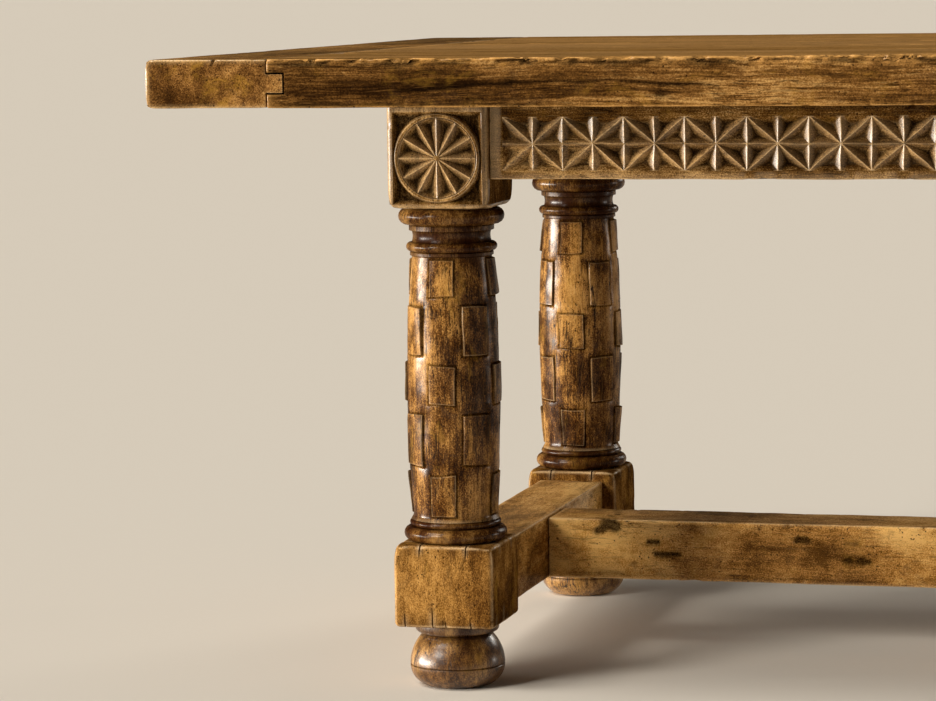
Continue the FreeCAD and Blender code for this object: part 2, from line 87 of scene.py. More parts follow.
# Top
board_ease = 0.0021
arris_line = 0.0034
front_arris_lines = (0.0048, 0.0064, 0.0082, 0.0104, 0.0135)
tongue_thickness = 0.021
tongue_length = 0.019
tongue_line = 0.0008
joint_gap = 0.0015
joint_ease = 0.0020
outer_arris_wear = 0.0016
outer_arris_reach = 0.004
board_corner_wear = 0.0040
board_corner_reach = 0.007
board_notch = -1.441
board_notch_half = 0.0026
board_notch_depth = 0.0060
board_notch_reach = 0.0045
board_rub_blotch = 0.050
board_upright_reach = 0.0042
board_level_reach = 0.0030
board_low_band = 0.008
board_low_blotch = 0.013
crumb_depth = 0.0042
crumb_line = 0.0045
crumb_reach = 0.0032
crumb_behind = 0.004
crumb_blotch = 0.0085
edge_chip_reach = 0.0068
edge_chip_blotch = 0.009
top_rub_depth = 0.0009
top_rub_reach = 0.004
top_rub_blotch = 0.090
outer_worn_lit_reach = 0.0026
edge_scar_line = 0.0068
edge_scar_reach = 0.0028
edge_scar_behind = 0.006
edge_scar_blotch = 0.011
vein_wander = (0.020, 0.0012)
vein_swelling = (0.035, 0.0012)
vein_half_widths = (0.0009, 0.0017, 0.004)
vein_lattice_inset = 0.025
vein_lattice_end = -0.60
vein_lattice_step = 0.0030
vein_lattice_levels = (0.0240, 0.0450, 0.0016)
vein_lattice_gap = 0.0005
dark_vein = (
    # place along the table, depth below the top face
    (-1.230, 0.0360),
    (-1.186, 0.0346),
    (-1.090, 0.0278),
    (-0.988, 0.0267),
    (-0.920, 0.0305),
    (-0.860, 0.0320),
)
dark_knots = (
    # place along the table, depth below the top face, radius
    (-1.094, 0.0265, 0.0042),
    (-0.925, 0.0420, 0.0050),
    (-1.262, 0.0330, 0.0022),
)
edge_chips = (
    # place along the table, length, depth
    (-1.328, 0.014, 0.0055),
    (-1.268, 0.034, 0.0022),
    (-1.222, 0.024, 0.0065),
    (-1.174, 0.012, 0.0025),
    (-1.128, 0.016, 0.0025),
    (-1.081, 0.016, 0.0050),
    (-1.037, 0.012, 0.0025),
    (-0.981, 0.040, 0.0060),
    (-0.919, 0.018, 0.0028),
    (-0.880, 0.012, 0.0030),
    (-0.821, 0.026, 0.0068),
    (-0.770, 0.014, 0.0030),
    (-0.726, 0.020, 0.0035),
    (-0.658, 0.078, 0.0080),
    (-0.430, 0.030, 0.0050),
    (-0.120, 0.050, 0.0045),
    (0.260, 0.024, 0.0060),
    (0.590, 0.040, 0.0050),
    (0.980, 0.030, 0.0055),
    (1.210, 0.024, 0.0045),
)

# Blocks and the carved wheels on the outer faces of the cap blocks
block_round = 0.0064
base_corner_wear = 0.0042
base_corner_reach = 0.010
cap_corner_wear = 0.0040
cap_corner_reach = 0.011
cap_frame_wear_and_light = 0.22
cap_frame_fade = 0.002
wheel_field_half = 0.0548
wheel_panel_half = 0.0543
wheel_panel_slope = 0.0052
wheel_ring_slope = 0.0028
wheel_centre_drop = 0.0675
wheel_panel_depth = 0.007
wheel_ring_outer = 0.0524
wheel_ring_width = 0.0050
wheel_hub_radius = 0.0022
wheel_chip_depth = 0.0088
wheel_chip_slope = 1.00
wheel_ray_count = 12
wheel_turn_shares = (0, 0.045, 0.105, 0.26, 0.52, 0.80, 1)
wheel_rim_shares = (0.86, 0.91, 0.945, 0.972, 0.99)
wheel_corner_shares = (0.06, 0.13, 0.21, 0.32, 0.46, 0.60, 0.74, 0.86, 0.94)

# Short drying cracks in the base blocks: place across the face, length, depth
crack_width = 0.0020
top_cracks = ((-0.029, 0.014, 0.0034), (0.028, 0.015, 0.0036))
bottom_cracks = (
    (-0.048, 0.019, 0.0030),
    (-0.014, 0.025, 0.0036),
    (0.002, 0.009, 0.0022),
    (0.033, 0.009, 0.0024),
)

# Turned columns
base_bead_height = 0.018
base_bead_radius = 0.0625
base_fillet_height = 0.008
base_fillet_radius = 0.0555
shaft_bottom_radius = 0.050
shaft_middle_radius = 0.056
shaft_top_radius = 0.0485
shaft_flare = 0.0035
shaft_step = 0.008
shaft_end = 0.010
ring_fillet_height = 0.005
ring_fillet_radius = 0.0505
ring_height = 0.012
ring_radius = 0.055
neck_height = 0.013
neck_radius = 0.048
neck_hollow = 0.001
collar_fillet_height = 0.007
collar_fillet_radius = 0.0515
collar_height = 0.021
collar_radius = 0.064

# Raised tiles of the shaft, and its unevenness: blotch size and depth
tile_rise = 0.0022
tile_angle = 36.0
tile_column_count = 8
even_tile_shares = ((0.021, 0.180), (0.445, 0.596), (0.852, 0.992))
odd_tile_shares = ((0.213, 0.407), (0.631, 0.817))
tile_lip = 0.0013
tile_groove = 0.0005
shaft_sway = (0.045, 0.0016)
shaft_lift = (0.038, 0.0018)
shaft_hewing = (0.021, 0.0006)

# Bun feet
bun_height = 0.065
bun_radius = 0.0575
bun_widest_height = 0.026
bun_base_radius = 0.037
bun_neck_radius = 0.040
bun_line_width = 0.0022
bun_line_lip = 0.0001
bun_line_depth = 0.0012
bun_still_height = 0.006
bun_stain_low = 0.034
bun_stain_run = 0.030
bun_stain_top = 0.004
disc_radius = 0.051
disc_round = 0.0055
disc_ease = 0.0010

# Aprons and their chip-carved star band
apron_height = 0.093
apron_thickness = 0.034
apron_setback = 0.009
band_bottom_border = 0.0105
band_height = 0.063
band_stile = 0.016
stile_fill_light = 0.35
stile_fade = 0.002
star_pitch = 0.0735
ridge_width = 0.0005
ridge_round = 0.0003
ridge_wear_light_reach = 0.0008
facet_wear_and_sheen = 0.30
facet_wear_and_sheen_reach = 0.0070
chip_depth = 0.0079
chip_depth_shares = (0.86, 1.10)
chip_wander = 0.0011
chip_steps = 6
chip_inward_shares = (0, 0.05, 0.10, 0.18, 0.36, 0.56, 0.78, 1.0)
band_sway = (0.030, 0.0009)
band_sway_fade = 0.008
band_sway_depth = 0.012

# Stretchers
stretcher_round = 0.0022
gouge_depth = 0.0014
gouge_blotch = 0.009
stretcher_scars = (
    # place along the bar, height below its top, half length, half height
    (-1.118, 0.009, 0.017, 0.0085),
    (-1.062, 0.028, 0.010, 0.0040),
    (-1.044, 0.043, 0.016, 0.0035),
    (-0.870, 0.020, 0.012, 0.0040),
    (-0.792, 0.046, 0.018, 0.0050),
    (-0.300, 0.012, 0.014, 0.0060),
    (0.420, 0.030, 0.015, 0.0045),
    (0.960, 0.010, 0.012, 0.0060),
)

# Camera: place, turn to the left, tilt down and roll in radians, and lens in millimetres
camera_place = Vector((-0.0953, -4.5170, 0.8553))
camera_yaw = 0.2629
camera_pitch = 0.1035
camera_roll = -0.0143
camera_lens = 139.92


# Smooth noise, the same on every run

def smooth_noise(points, seed):
    """Value noise from -1 to 1, with one cell per unit."""
    cell = np.floor(points)
    share = points - cell
    fade = share * share * (3 - 2 * share)
    whole = cell.astype(np.int64)
    total = np.zeros(len(points))
    for corner in range(8):
        step = np.array([corner & 1, corner >> 1 & 1, corner >> 2 & 1])
        key = whole + step
        mixed = key[:, 0] * 73856093 ^ key[:, 1] * 19349663 ^ key[:, 2] * 83492791 ^ seed * 50331653
        mixed = (mixed ^ mixed >> 13) * 1274126177 & 0x7FFFFFFFFFFF
        value = (mixed >> 9 & 0xFFFF) / 32767.5 - 1
        weight = np.where(step == 1, fade, 1 - fade).prod(axis=1)
        total += value * weight
    return total


def fractal(points, size, seed, octaves=3):
    """Noise whose largest blotches are about the given size."""
    total = np.zeros(len(points))
    for octave in range(octaves):
        total += smooth_noise(points / size * 2 ** octave + 17.3 * octave, seed + octave) / 2 ** octave
    return total


def smooth_step(value):
    """Soft ramp from 0 to 1."""
    share = np.clip(value, 0, 1)
    return share * share * (3 - 2 * share)


def soft_ramp(value, softness):
    """Zero below nothing and a straight rise above it, with a soft corner."""
    return (np.sqrt(value * value + softness * softness) + value - softness) / 2


def bell(distance, reach):
    """1 at no distance, fading softly over the reach."""
    return np.exp(-(distance / reach) ** 2)


# Surfaces

class Shell:
    """Surface of one piece, gathered from grids of points and welded where they meet.

    Points carry marks from 0 to 1: cavity, painted shade with dark glaze in a deep cut; ridge, wear with a
    painted highlight on a crest; stain under dark polish.
    """

    marks = ("cavity", "ridge", "stain")

    def __init__(self):
        self.points = []
        self.edge = []
        self.marked = {mark: [] for mark in self.marks}
        self.quads = []
        self.count = 0

    def patch(self, points, edge=far_from_arris, keep=None, **marked):
        """Adds a grid of points with their distance to an arris and their marks."""
        rows, columns = points.shape[:2]
        index = np.arange(rows * columns).reshape(rows, columns) + self.count
        quads = np.stack([index[:-1, :-1], index[1:, :-1], index[1:, 1:], index[:-1, 1:]], axis=-1)
        if keep is not None:
            quads = quads[keep]
        self.quads.append(quads.reshape(-1, 4))
        self.points.append(points.reshape(-1, 3))
        self.edge.append(np.broadcast_to(edge, (rows, columns)).reshape(-1))
        for mark in self.marks:
            self.marked[mark].append(np.broadcast_to(marked.get(mark, 0.0), (rows, columns)).reshape(-1))
        self.count += rows * columns

    def welded(self):
        """Points, faces, edge distance and marks, with the doubled points merged."""
        points = np.concatenate(self.points)
        quads = np.concatenate(self.quads)
        used = np.unique(quads)
        keys = np.round(points[used] / weld_distance).astype(np.int64)
        _, first, place = np.unique(keys, axis=0, return_index=True, return_inverse=True)
        place = place.reshape(-1)
        remap = np.zeros(len(points), np.int64)
        remap[used] = place
        edge = np.full(len(first), np.inf)
        np.minimum.at(edge, place, np.concatenate(self.edge)[used])
        marked = {mark: np.zeros(len(first)) for mark in self.marks}
        for mark, parts in self.marked.items():
            np.maximum.at(marked[mark], place, np.concatenate(parts)[used])
        faces = []
        for quad in remap[quads].tolist():
            corners = [quad[k] for k in range(4) if quad[k] != quad[k - 1]]
            if len(set(corners)) >= 3 and len(set(corners)) == len(corners):
                faces.append(corners)
        return points[used][first], faces, edge, marked


def turned(points, degrees):
    """Points turned about the vertical."""
    angle = math.radians(degrees)
    cosine, sine = math.cos(angle), math.sin(angle)
    return points @ np.array([[cosine, -sine, 0], [sine, cosine, 0], [0, 0, 1]]).T


def axis_lines(low, high, radius, step, extra=(), rounds=3):
    """Lattice lines along one axis: close together over the rounded edges, then even steps."""
    turn = np.tan(np.linspace(0, math.pi / 4, rounds + 1))
    stops = sorted({low + radius, high - radius, *extra})
    lines = list(low + radius * (1 - turn[::-1]))[:-1]
    for start, end in zip(stops, stops[1:]):
        count = max(1, round((end - start) / step))
        lines += list(np.linspace(start, end, count, endpoint=False))
    return np.array(lines + list(high - radius * (1 - turn)))


def block_lines(low, high, radius, steps, extras=((), (), ())):
    """Lattice lines of a block along its three axes."""
    return [axis_lines(low[k], high[k], radius, steps[k], extras[k]) for k in range(3)]


def within(lines, limits):
    """The lattice lines between two limits."""
    return lines[(lines > limits[0] - hair) & (lines < limits[1] + hair)]


def rounded(points, low, high, radius):
    """Points of a box's lattice moved onto its rounded edges."""
    inner = np.clip(points, low + radius, high - radius)
    off = points - inner
    reach = np.abs(off).max(axis=-1, keepdims=True)
    length = np.linalg.norm(off, axis=-1, keepdims=True)
    return inner + off * np.where(length > 0, reach / np.maximum(length, 1e-12), 1)


def flat_grid(u, u_lines, v, v_lines, axis, level):
    """Grid of points at one level of an axis, on lattice lines of the other two."""
    grid_u, grid_v = np.meshgrid(u_lines, v_lines, indexing="ij")
    points = np.empty(grid_u.shape + (3,))
    points[..., u] = grid_u
    points[..., v] = grid_v
    points[..., axis] = level
    return points


def block_shell(lines, radius, openings=(), shape=None):
    """Six faces of a rounded block. An opening is (axis, side, low u, high u, low v, high v)."""
    shell = Shell()
    low = np.array([line[0] for line in lines])
    high = np.array([line[-1] for line in lines])
    for axis in range(3):
        u, v = [k for k in range(3) if k != axis]
        for side, level in enumerate((low[axis], high[axis])):
            points = flat_grid(u, lines[u], v, lines[v], axis, level)
            grid_u, grid_v = points[..., u], points[..., v]
            edge = np.minimum.reduce([grid_u - low[u], high[u] - grid_u, grid_v - low[v], high[v] - grid_v])
            middle_u = (grid_u[1:, 1:] + grid_u[:-1, :-1]) / 2
            middle_v = (grid_v[1:, 1:] + grid_v[:-1, :-1]) / 2
            keep = np.ones(middle_u.shape, bool)
            for hole_axis, hole_side, u_low, u_high, v_low, v_high in openings:
                if (hole_axis, hole_side) == (axis, side):
                    in_u = (middle_u > u_low) & (middle_u < u_high)
                    keep &= ~(in_u & (middle_v > v_low) & (middle_v < v_high))
            shell.patch(shape(points) if shape else rounded(points, low, high, radius), edge, keep)
    return shell


def wall(shell, first, second, axis, level, shape=None):
    """Flat patch of a groove or tongue between two sets of (axis, lines)."""
    points = flat_grid(*first, *second, axis, level)
    shell.patch(shape(points) if shape else points)


# Pieces

def neighbour_mean(values, pairs):
    """Values spread over the points that share an edge."""
    count = np.bincount(pairs.ravel(), minlength=len(values))
    total = np.bincount(pairs[:, 0], values[pairs[:, 1]], len(values))
    total += np.bincount(pairs[:, 1], values[pairs[:, 0]], len(values))
    return (values + total / np.maximum(count, 1)) / 2


def bend(points, normals, pairs):
    """How far each point's neighbours stand above it, or below it on a ridge, as a slope."""
    first, second = pairs.T
    step = points[second] - points[first]
    step /= np.maximum(np.linalg.norm(step, axis=1, keepdims=True), hair)
    total = np.bincount(first, (normals[first] * step).sum(axis=1), len(points))
    total -= np.bincount(second, (normals[second] * step).sum(axis=1), len(points))
    return total / np.maximum(np.bincount(pairs.ravel(), minlength=len(points)), 1)


def read_vectors(collection, name):
    """Vectors of a mesh's points as an array."""
    values = np.empty(len(collection) * 3)
    collection.foreach_get(name, values)
    return values.reshape(-1, 3)


def closed_mesh(name, points, faces):
    """Mesh of the faces, all turned outward."""
    mesh = bpy.data.meshes.new(name)
    mesh.from_pydata(points.tolist(), [], faces)
    sculpt = bmesh.new()
    sculpt.from_mesh(mesh)
    bmesh.ops.recalc_face_normals(sculpt, faces=sculpt.faces)
    sculpt.to_mesh(mesh)
    sculpt.free()
    mesh.update()
    return mesh


def weathered(points, edge, seed, wear, chips, wave):
    """Movement of each point along its normal by rubbing, knocks, dents and uneven planing."""
    broad = fractal(points, rub_blotch, seed)
    small = fractal(points, knock_blotch, seed + 7)
    rubbed = wear * bell(edge, rub_reach) * np.clip(0.45 + 0.9 * broad, 0, 1.5)
    knocked = chips * bell(edge, knock_reach) * np.clip(small - 0.42, 0, 0.8) * 2
    dents = wave * np.clip(fractal(points, dent_blotch, seed + 13, 2) - 0.35, 0, 1)
    uneven = wave * (fractal(points, uneven_blotch, seed + 19, 2) - 1.2) * 0.5
    return uneven - rubbed - knocked - dents


def add_piece(name, node, slot, material, shell, grain_axis, seed, wear, chips, wave, extra_wear=None,
              still=None, scars=None, worn_and_lit=None, fade=0.0, burnish=0.0, sharp=38.0, arris_wear_light_width=0.0022):
    """Builds a piece from its shell, weathers it and hides the CAD node that it stands for."""
    points, faces, edge, marked = shell.welded()
    mesh = closed_mesh(name, points, faces)
    shift = weathered(points, edge, seed, wear, chips, wave)
    if extra_wear:
        shift -= extra_wear(points)
    if still:
        shift *= still(points)
    points = points + read_vectors(mesh.vertices, "normal") * shift[:, None]
    mesh.vertices.foreach_set("co", points.ravel())
    mesh.update()
    normals = read_vectors(mesh.vertices, "normal")
    pairs = np.empty(len(mesh.edges) * 2, np.int64)
    mesh.edges.foreach_get("vertices", pairs)
    pairs = pairs.reshape(-1, 2)
    slope = bend(points, normals, pairs)
    along = points[:, {"x": (0, 1, 2), "y": (1, 0, 2), "z": (2, 0, 1)}[grain_axis]]
    patchy = fractal(points, patch_blotch, seed + 29)
    streaky = fractal(along * np.array([streak_shrink, 1, 1]), streak_blotch, seed + 31)

    # Painted highlight with wear: convex crests and arrises, and the marked ridges below, get a lighter
    # colour, partly wear and partly a painted highlight.
    wear_and_light = np.clip(-slope * 4.0 - 0.75, 0, 1) * np.clip(0.75 + 0.6 * patchy, 0, 1.3)
    on_arris = bell(edge, arris_wear_light_width) * np.clip(-slope * 14, 0, 1)
    wear_and_light = neighbour_mean(wear_and_light + on_arris * np.clip(0.80 + 0.4 * patchy, 0.35, 1), pairs)
    # Extra lightening per piece: wear with painted highlights on edges, and painted fill light on the shaded
    # apron stiles.
    if worn_and_lit:
        wear_and_light += worn_and_lit(points) * np.clip(0.80 + 0.5 * patchy, 0.3, 1)
    # Upward faces lighter: partly bleaching from use, partly painted top light.
    wear_and_light += fade * np.clip(normals[:, 2], 0, 1) * np.clip(0.8 + 0.45 * streaky + 0.10 * patchy, 0.1, 1.6)
    wear_and_light = np.clip(np.maximum(wear_and_light, marked["ridge"] * np.clip(0.85 + 0.3 * patchy, 0, 1)), 0, 1)
    # Painted shade with dark glaze in concave hollows and marked cuts, plus the real dark colour of scars,
    # veins and knots.
    marks_and_shade = np.clip(slope * 3.0 - 0.10, 0, 1) + marked["cavity"]
    if scars:
        marks_and_shade += scars(points)
    marks_and_shade = np.clip(neighbour_mean(marks_and_shade, pairs), 0, 1)
    smoked = burnish * bell(edge - smoke_line, smoke_reach) * np.clip(0.55 + 0.8 * patchy, 0, 1)
    stain = np.clip(marked["stain"] + smoked * (edge > smoke_start), 0, 1)
    grain = along + np.array([1.7, 2.3, 3.1]) * (seed % 29)
    for title, kind, field, values in (("grain", "FLOAT_VECTOR", "vector", grain),
                                       ("wear_and_light", "FLOAT", "value", wear_and_light),
                                       ("marks_and_shade", "FLOAT", "value", marks_and_shade),
                                       ("stain", "FLOAT", "value", stain)):
        attribute = mesh.attributes.new(title, kind, "POINT")
        attribute.data.foreach_set(field, values.astype(np.float32).ravel())
    mesh.shade_smooth()
    mesh.set_sharp_from_angle(angle=math.radians(sharp))
    mesh.materials.append(material)
    piece = bpy.data.objects.new(name, mesh)
    bpy.context.scene.collection.objects.link(piece)
    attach(piece, "root")
    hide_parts(node)


# Materials

class Nodes:
    """Short way to write a material's node tree."""

    def __init__(self, name):
        self.material = bpy.data.materials.new(name)
        self.material.use_nodes = True
        self.tree = self.material.node_tree
        self.tree.nodes.clear()

    def add(self, kind, values=None, **settings):
        """New node with its settings, and its inputs set or linked."""
        item = self.tree.nodes.new("ShaderNode" + kind)
        for key, value in settings.items():
            setattr(item, key, value)
        for socket, value in (values or {}).items():
            if isinstance(value, bpy.types.NodeSocket):
                self.tree.links.new(value, item.inputs[socket])
            else:
                item.inputs[socket].default_value = value
        return item

    def math(self, operation, first, second=0.0, clamp=False):
        """Result of a sum."""
        return self.add("Math", {0: first, 1: second}, operation=operation, use_clamp=clamp).outputs[0]

    def times(self, first, second):
        """Product of two values."""
        return self.math("MULTIPLY", first, second)

    def total(self, operation, start, *terms):
        """A start value with (value, share) terms added to it or taken from it."""
        for value, share in terms:
            start = self.math(operation, start, self.times(value, share))
        return start

    def vector(self, operation, first, values):
        """Result of a vector sum."""
        return self.add("VectorMath", {0: first, **values}, operation=operation).outputs[0]

    def attribute(self, title, output="Fac"):
        """Values that the mesh's points carry."""
        return self.add("Attribute", attribute_name=title).outputs[output]

    def noise(self, vector, stretch, detail=4.0, roughness=0.6, distortion=0.0):
        """Noise stretched along the grain."""
        place = self.add("Mapping", {"Vector": vector, "Scale": stretch}).outputs[0]
        settings = {"Detail": detail, "Roughness": roughness, "Distortion": distortion}
        return self.add("TexNoise", {"Vector": place, "Scale": 1.0, **settings}).outputs[0]

    def band(self, value, low, high, start=0.0, end=1.0):
        """Soft ramp of a value between two limits."""
        values = {"Value": value, "From Min": low, "From Max": high, "To Min": start, "To Max": end}
        return self.add("MapRange", values, interpolation_type="SMOOTHSTEP").outputs[0]

    def mix(self, share, first, second):
        """Mix of two colours."""
        return self.add("Mix", {"Factor": share, 6: first, 7: second}, data_type="RGBA").outputs[2]

    def cover(self, base, colour, mask, share):
        """Colour laid over a base where a mask shows, at a share of its strength."""
        return self.mix(self.times(mask, share), base, colour)

    def ramp(self, value, stops):
        """Colours along a value."""
        item = self.add("ValToRGB", {"Fac": value})
        for index, (place, colour) in enumerate(stops):
            stop = item.color_ramp.elements[index] if index < 2 else item.color_ramp.elements.new(place)
            stop.position = place
            stop.color = colour
        return item.outputs[0]

    def bump(self, height, strength, distance):
        """Normal of a surface with fine relief."""
        return self.add("Bump", {"Height": height, "Strength": strength, "Distance": distance}).outputs[0]

    def finish(self, values):
        """Finished material with the shader's values."""
        shader = self.add("BsdfPrincipled", values)
        self.add("OutputMaterial", {"Surface": shader.outputs[0]})
        return self.material


def tone(red, green, blue):
    """Colour from its values on screen, 0 to 255."""
    levels = []
    for value in (red, green, blue):
        share = value / 255
        levels.append(share / 12.92 if share < 0.04045 else ((share + 0.055) / 1.055) ** 2.4)
    return (*levels, 1.0)


def between(first, second, share):
    """Colour part of the way from one to another."""
    return tuple(a + (b - a) * share for a, b in zip(first, second))


def old_wood(name, colours, streak, speckle, mottle, flecks, checks, coat, coat_rough=0.25, specular=0.0,
             sheets=0.0, coat_rub=None, rubbed=(240, 212, 168)):
    """Waxed, stained and rubbed wood, with its grain along the first axis of the grain attribute.

    The colours are dark, middle and light. The shares say how strongly long streaks, fine speckle, broad
    mottle, short flecks, drying checks and wide sheets of grain show. The coat lies all over, or only where
    the mask of wear and painted highlight passes the two marks in coat_rub. The rubbed colour lightens crests
    and edges, partly wear and partly a painted highlight, and hollows and cuts are darkened as painted shade.
    """
    tree = Nodes(name)
    dark, middle, light = (tone(*colour) for colour in colours)
    black = tone(22, 10, 3)
    pale = between(light, tone(222, 176, 108), 0.45)
    deep = between(dark, black, 0.55)
    grain = tree.attribute("grain", "Vector")
    wear_and_light, marks_and_shade, stain = (tree.attribute(title) for title in ("wear_and_light", "marks_and_shade", "stain"))
    wobble = tree.add("TexNoise", {"Vector": grain, "Scale": 4.2, "Detail": 3.0}).outputs[1]
    centred = tree.vector("SUBTRACT", wobble, {1: (0.5, 0.5, 0.5)})
    bent = tree.vector("ADD", grain, {1: tree.vector("SCALE", centred, {"Scale": 0.022})})

    # grain and stain, from the broad to the fine
    lines = tree.noise(bent, (11.0, 380.0, 380.0), 4.0, 0.70)
    bands = tree.noise(bent, (3.0, 66.0, 66.0), 4.0, 0.66, 0.3)
    specks = tree.noise(grain, (520.0, 700.0, 700.0), 2.0, 0.80)
    clouds = tree.noise(grain, (21.0, 32.0, 32.0), 8.0, 0.72)
    wide = tree.noise(grain, (3.4, 6.0, 6.0), 3.0, 0.5)
    broad = tree.noise(bent, (1.3, 25.0, 25.0), 3.0, 0.6)
    sheet = tree.noise(bent, (0.8, 10.0, 3.0), 3.0, 0.6)
    shares = ((lines, streak), (bands, streak * 0.9), (broad, streak * 0.7), (specks, speckle),
              (clouds, mottle), (wide, mottle * 0.9), (sheet, sheets))
    level = tree.total("ADD", 0.5, *((tree.math("SUBTRACT", value, 0.5), share) for value, share in shares))
    base = tree.ramp(level, ((0.20, deep), (0.86, pale), (0.36, dark), (0.52, middle), (0.69, light)))
    streaks = tree.times(tree.band(lines, 0.55, 0.66), tree.band(bands, 0.38, 0.58, 0.25, 1.0))
    base = tree.cover(base, deep, streaks, min(1.0, 0.62 * streak))
    gold = tree.times(tree.band(lines, 0.44, 0.34), tree.band(bands, 0.56, 0.40, 0.15, 1.0))
    base = tree.cover(base, light, gold, min(1.0, 0.50 * streak))
    smoke = tree.band(tree.noise(grain, (30.0, 46.0, 46.0), 7.0, 0.74, 0.6), 0.53, 0.66)
    base = tree.cover(base, between(dark, tone(84, 60, 40), 0.5), smoke, 0.60 * mottle)
    honey = tree.band(tree.noise(grain, (15.0, 24.0, 24.0), 6.0, 0.70, 0.4), 0.54, 0.68)
    base = tree.cover(base, tone(158, 116, 42), honey, 0.45 * mottle)
    pores = tree.band(tree.noise(grain, (210.0, 320.0, 320.0), 2.0, 0.5), 0.63, 0.70)
    pore_where = tree.noise(grain, (14.0, 22.0, 22.0), 4.0, 0.65)
    pores = tree.times(pores, tree.band(pore_where, 0.42, 0.60, 0.10, 1.0))
    base = tree.cover(base, deep, pores, min(1.0, 1.3 * speckle))

    # crests and edges lightened, partly wear and partly a painted highlight, and dark polish
    crest = between(light, tone(*rubbed), 0.60)
    base = tree.cover(base, crest, wear_and_light, tree.band(specks, 0.30, 0.55, 0.50, 1.0))
    base = tree.cover(base, tone(44, 19, 6), stain, tree.band(clouds, 0.36, 0.64, 1.0, 0.72))

    # flecks, soot, drying checks, worm holes, and painted shade with dark glaze in the cuts and hollows
    dashes = tree.band(tree.noise(bent, (42.0, 480.0, 480.0), 2.0, 0.6), 0.57, 0.63)
    dash_where = tree.noise(grain, (9.0, 26.0, 26.0), 3.0, 0.6)
    dashes = tree.times(tree.times(dashes, tree.band(dash_where, 0.42, 0.60, 0.20, 1.0)), flecks)
    soot = tree.times(tree.band(tree.noise(grain, (13.0, 27.0, 27.0), 5.0, 0.72, 0.8), 0.64, 0.73), flecks)
    check_line = tree.noise(bent, (3.4, 58.0, 58.0), 3.0, 0.6)
    near_line = tree.math("ABSOLUTE", tree.math("SUBTRACT", check_line, 0.5))
    check_where = tree.noise(grain, (8.0, 19.0, 19.0), 2.0, 0.5)
    cracks = tree.times(tree.band(near_line, 0.012, 0.004), tree.band(check_where, 0.55, 0.62))
    cells = tree.add("TexVoronoi", {"Vector": grain, "Scale": 120.0, "Randomness": 1.0}).outputs["Distance"]
    worm_where = tree.noise(grain, (10.0, 16.0, 16.0), 2.0, 0.5)
    worms = tree.times(tree.band(cells, 0.150, 0.080), tree.band(worm_where, 0.44, 0.54))
    marks = tree.math("MAXIMUM", tree.times(cracks, checks), worms)
    for mask, share in ((dashes, 0.80), (soot, 0.75), (marks, 0.92)):
        base = tree.cover(base, black, mask, share)
    # Painted shade, with dark glaze: hollows and cuts go near black.
    base = tree.cover(base, tone(15, 7, 3), marks_and_shade, tree.band(specks, 0.28, 0.62, 1.0, 0.80))

    roughness = tree.band(clouds, 0.30, 0.70, 0.26, 0.42)
    roughness = tree.total("ADD", roughness, (specks, 0.10), (marks_and_shade, 0.30))
    height = tree.total("ADD", tree.times(lines, 0.55 * streak), (specks, 0.22), (clouds, 0.80))
    height = tree.total("SUBTRACT", height, (pores, 0.30), (dashes, 0.30), (soot, 0.25), (marks, 0.45))
    coated = tree.band(marks_and_shade, 0.0, 0.6, coat, 0.0)
    patches = tree.band(wear_and_light, *coat_rub) if coat_rub else tree.band(clouds, 0.38, 0.58, 0.35, 1.0)
    return tree.finish({
        "Base Color": base,
        "Roughness": tree.math("SUBTRACT", roughness, tree.times(stain, 0.10), clamp=True),
        "Normal": tree.bump(height, 0.60, 0.0010),
        "IOR": 1.46,
        "Specular IOR Level": specular,
        "Coat Weight": tree.times(coated, patches),
        "Coat Roughness": coat_rough,
    })


def planed_wood(name, dark, light, along):
    """Bare planed wood for the unseen parts, with its grain along one axis of the table."""
    tree = Nodes(name)
    place = tree.add("TexCoord").outputs["Object"]
    stretch = tuple(2.5 if axis == along else 70.0 for axis in range(3))
    fine = tuple(14.0 if axis == along else 600.0 for axis in range(3))
    streaks = tree.noise(place, stretch, 5.0, 0.6, 0.3)
    fibres = tree.noise(place, fine, 3.0, 0.6)
    stains = tree.noise(place, (9.0, 9.0, 9.0), 5.0, 0.65)
    base = tree.ramp(streaks, ((0.32, dark), (0.70, light)))
    base = tree.mix(tree.band(fibres, 0.35, 0.62, 0.35, 0.0), base, dark)
    base = tree.mix(tree.band(stains, 0.45, 0.70, 0.0, 0.5), base, dark)
    height = tree.total("ADD", tree.times(fibres, 0.5), (streaks, 0.5))
    return tree.finish({
        "Base Color": base,
        "Roughness": tree.band(stains, 0.2, 0.8, 0.52, 0.70),
        "Normal": tree.bump(height, 0.5, 0.0006),
    })


def plain_steel(name):
    """Turned steel of the screws, slightly dulled."""
    tree = Nodes(name)
    place = tree.add("TexCoord").outputs["Object"]
    stains = tree.noise(place, (160.0, 160.0, 160.0), 5.0, 0.65)
    return tree.finish({
        "Base Color": tree.ramp(stains, ((0.30, tone(92, 88, 84)), (0.72, tone(168, 166, 162)))),
        "Roughness": tree.band(stains, 0.25, 0.75, 0.30, 0.52),
        "Normal": tree.bump(stains, 0.2, 0.0002),
        "Metallic": 1.0,
    })


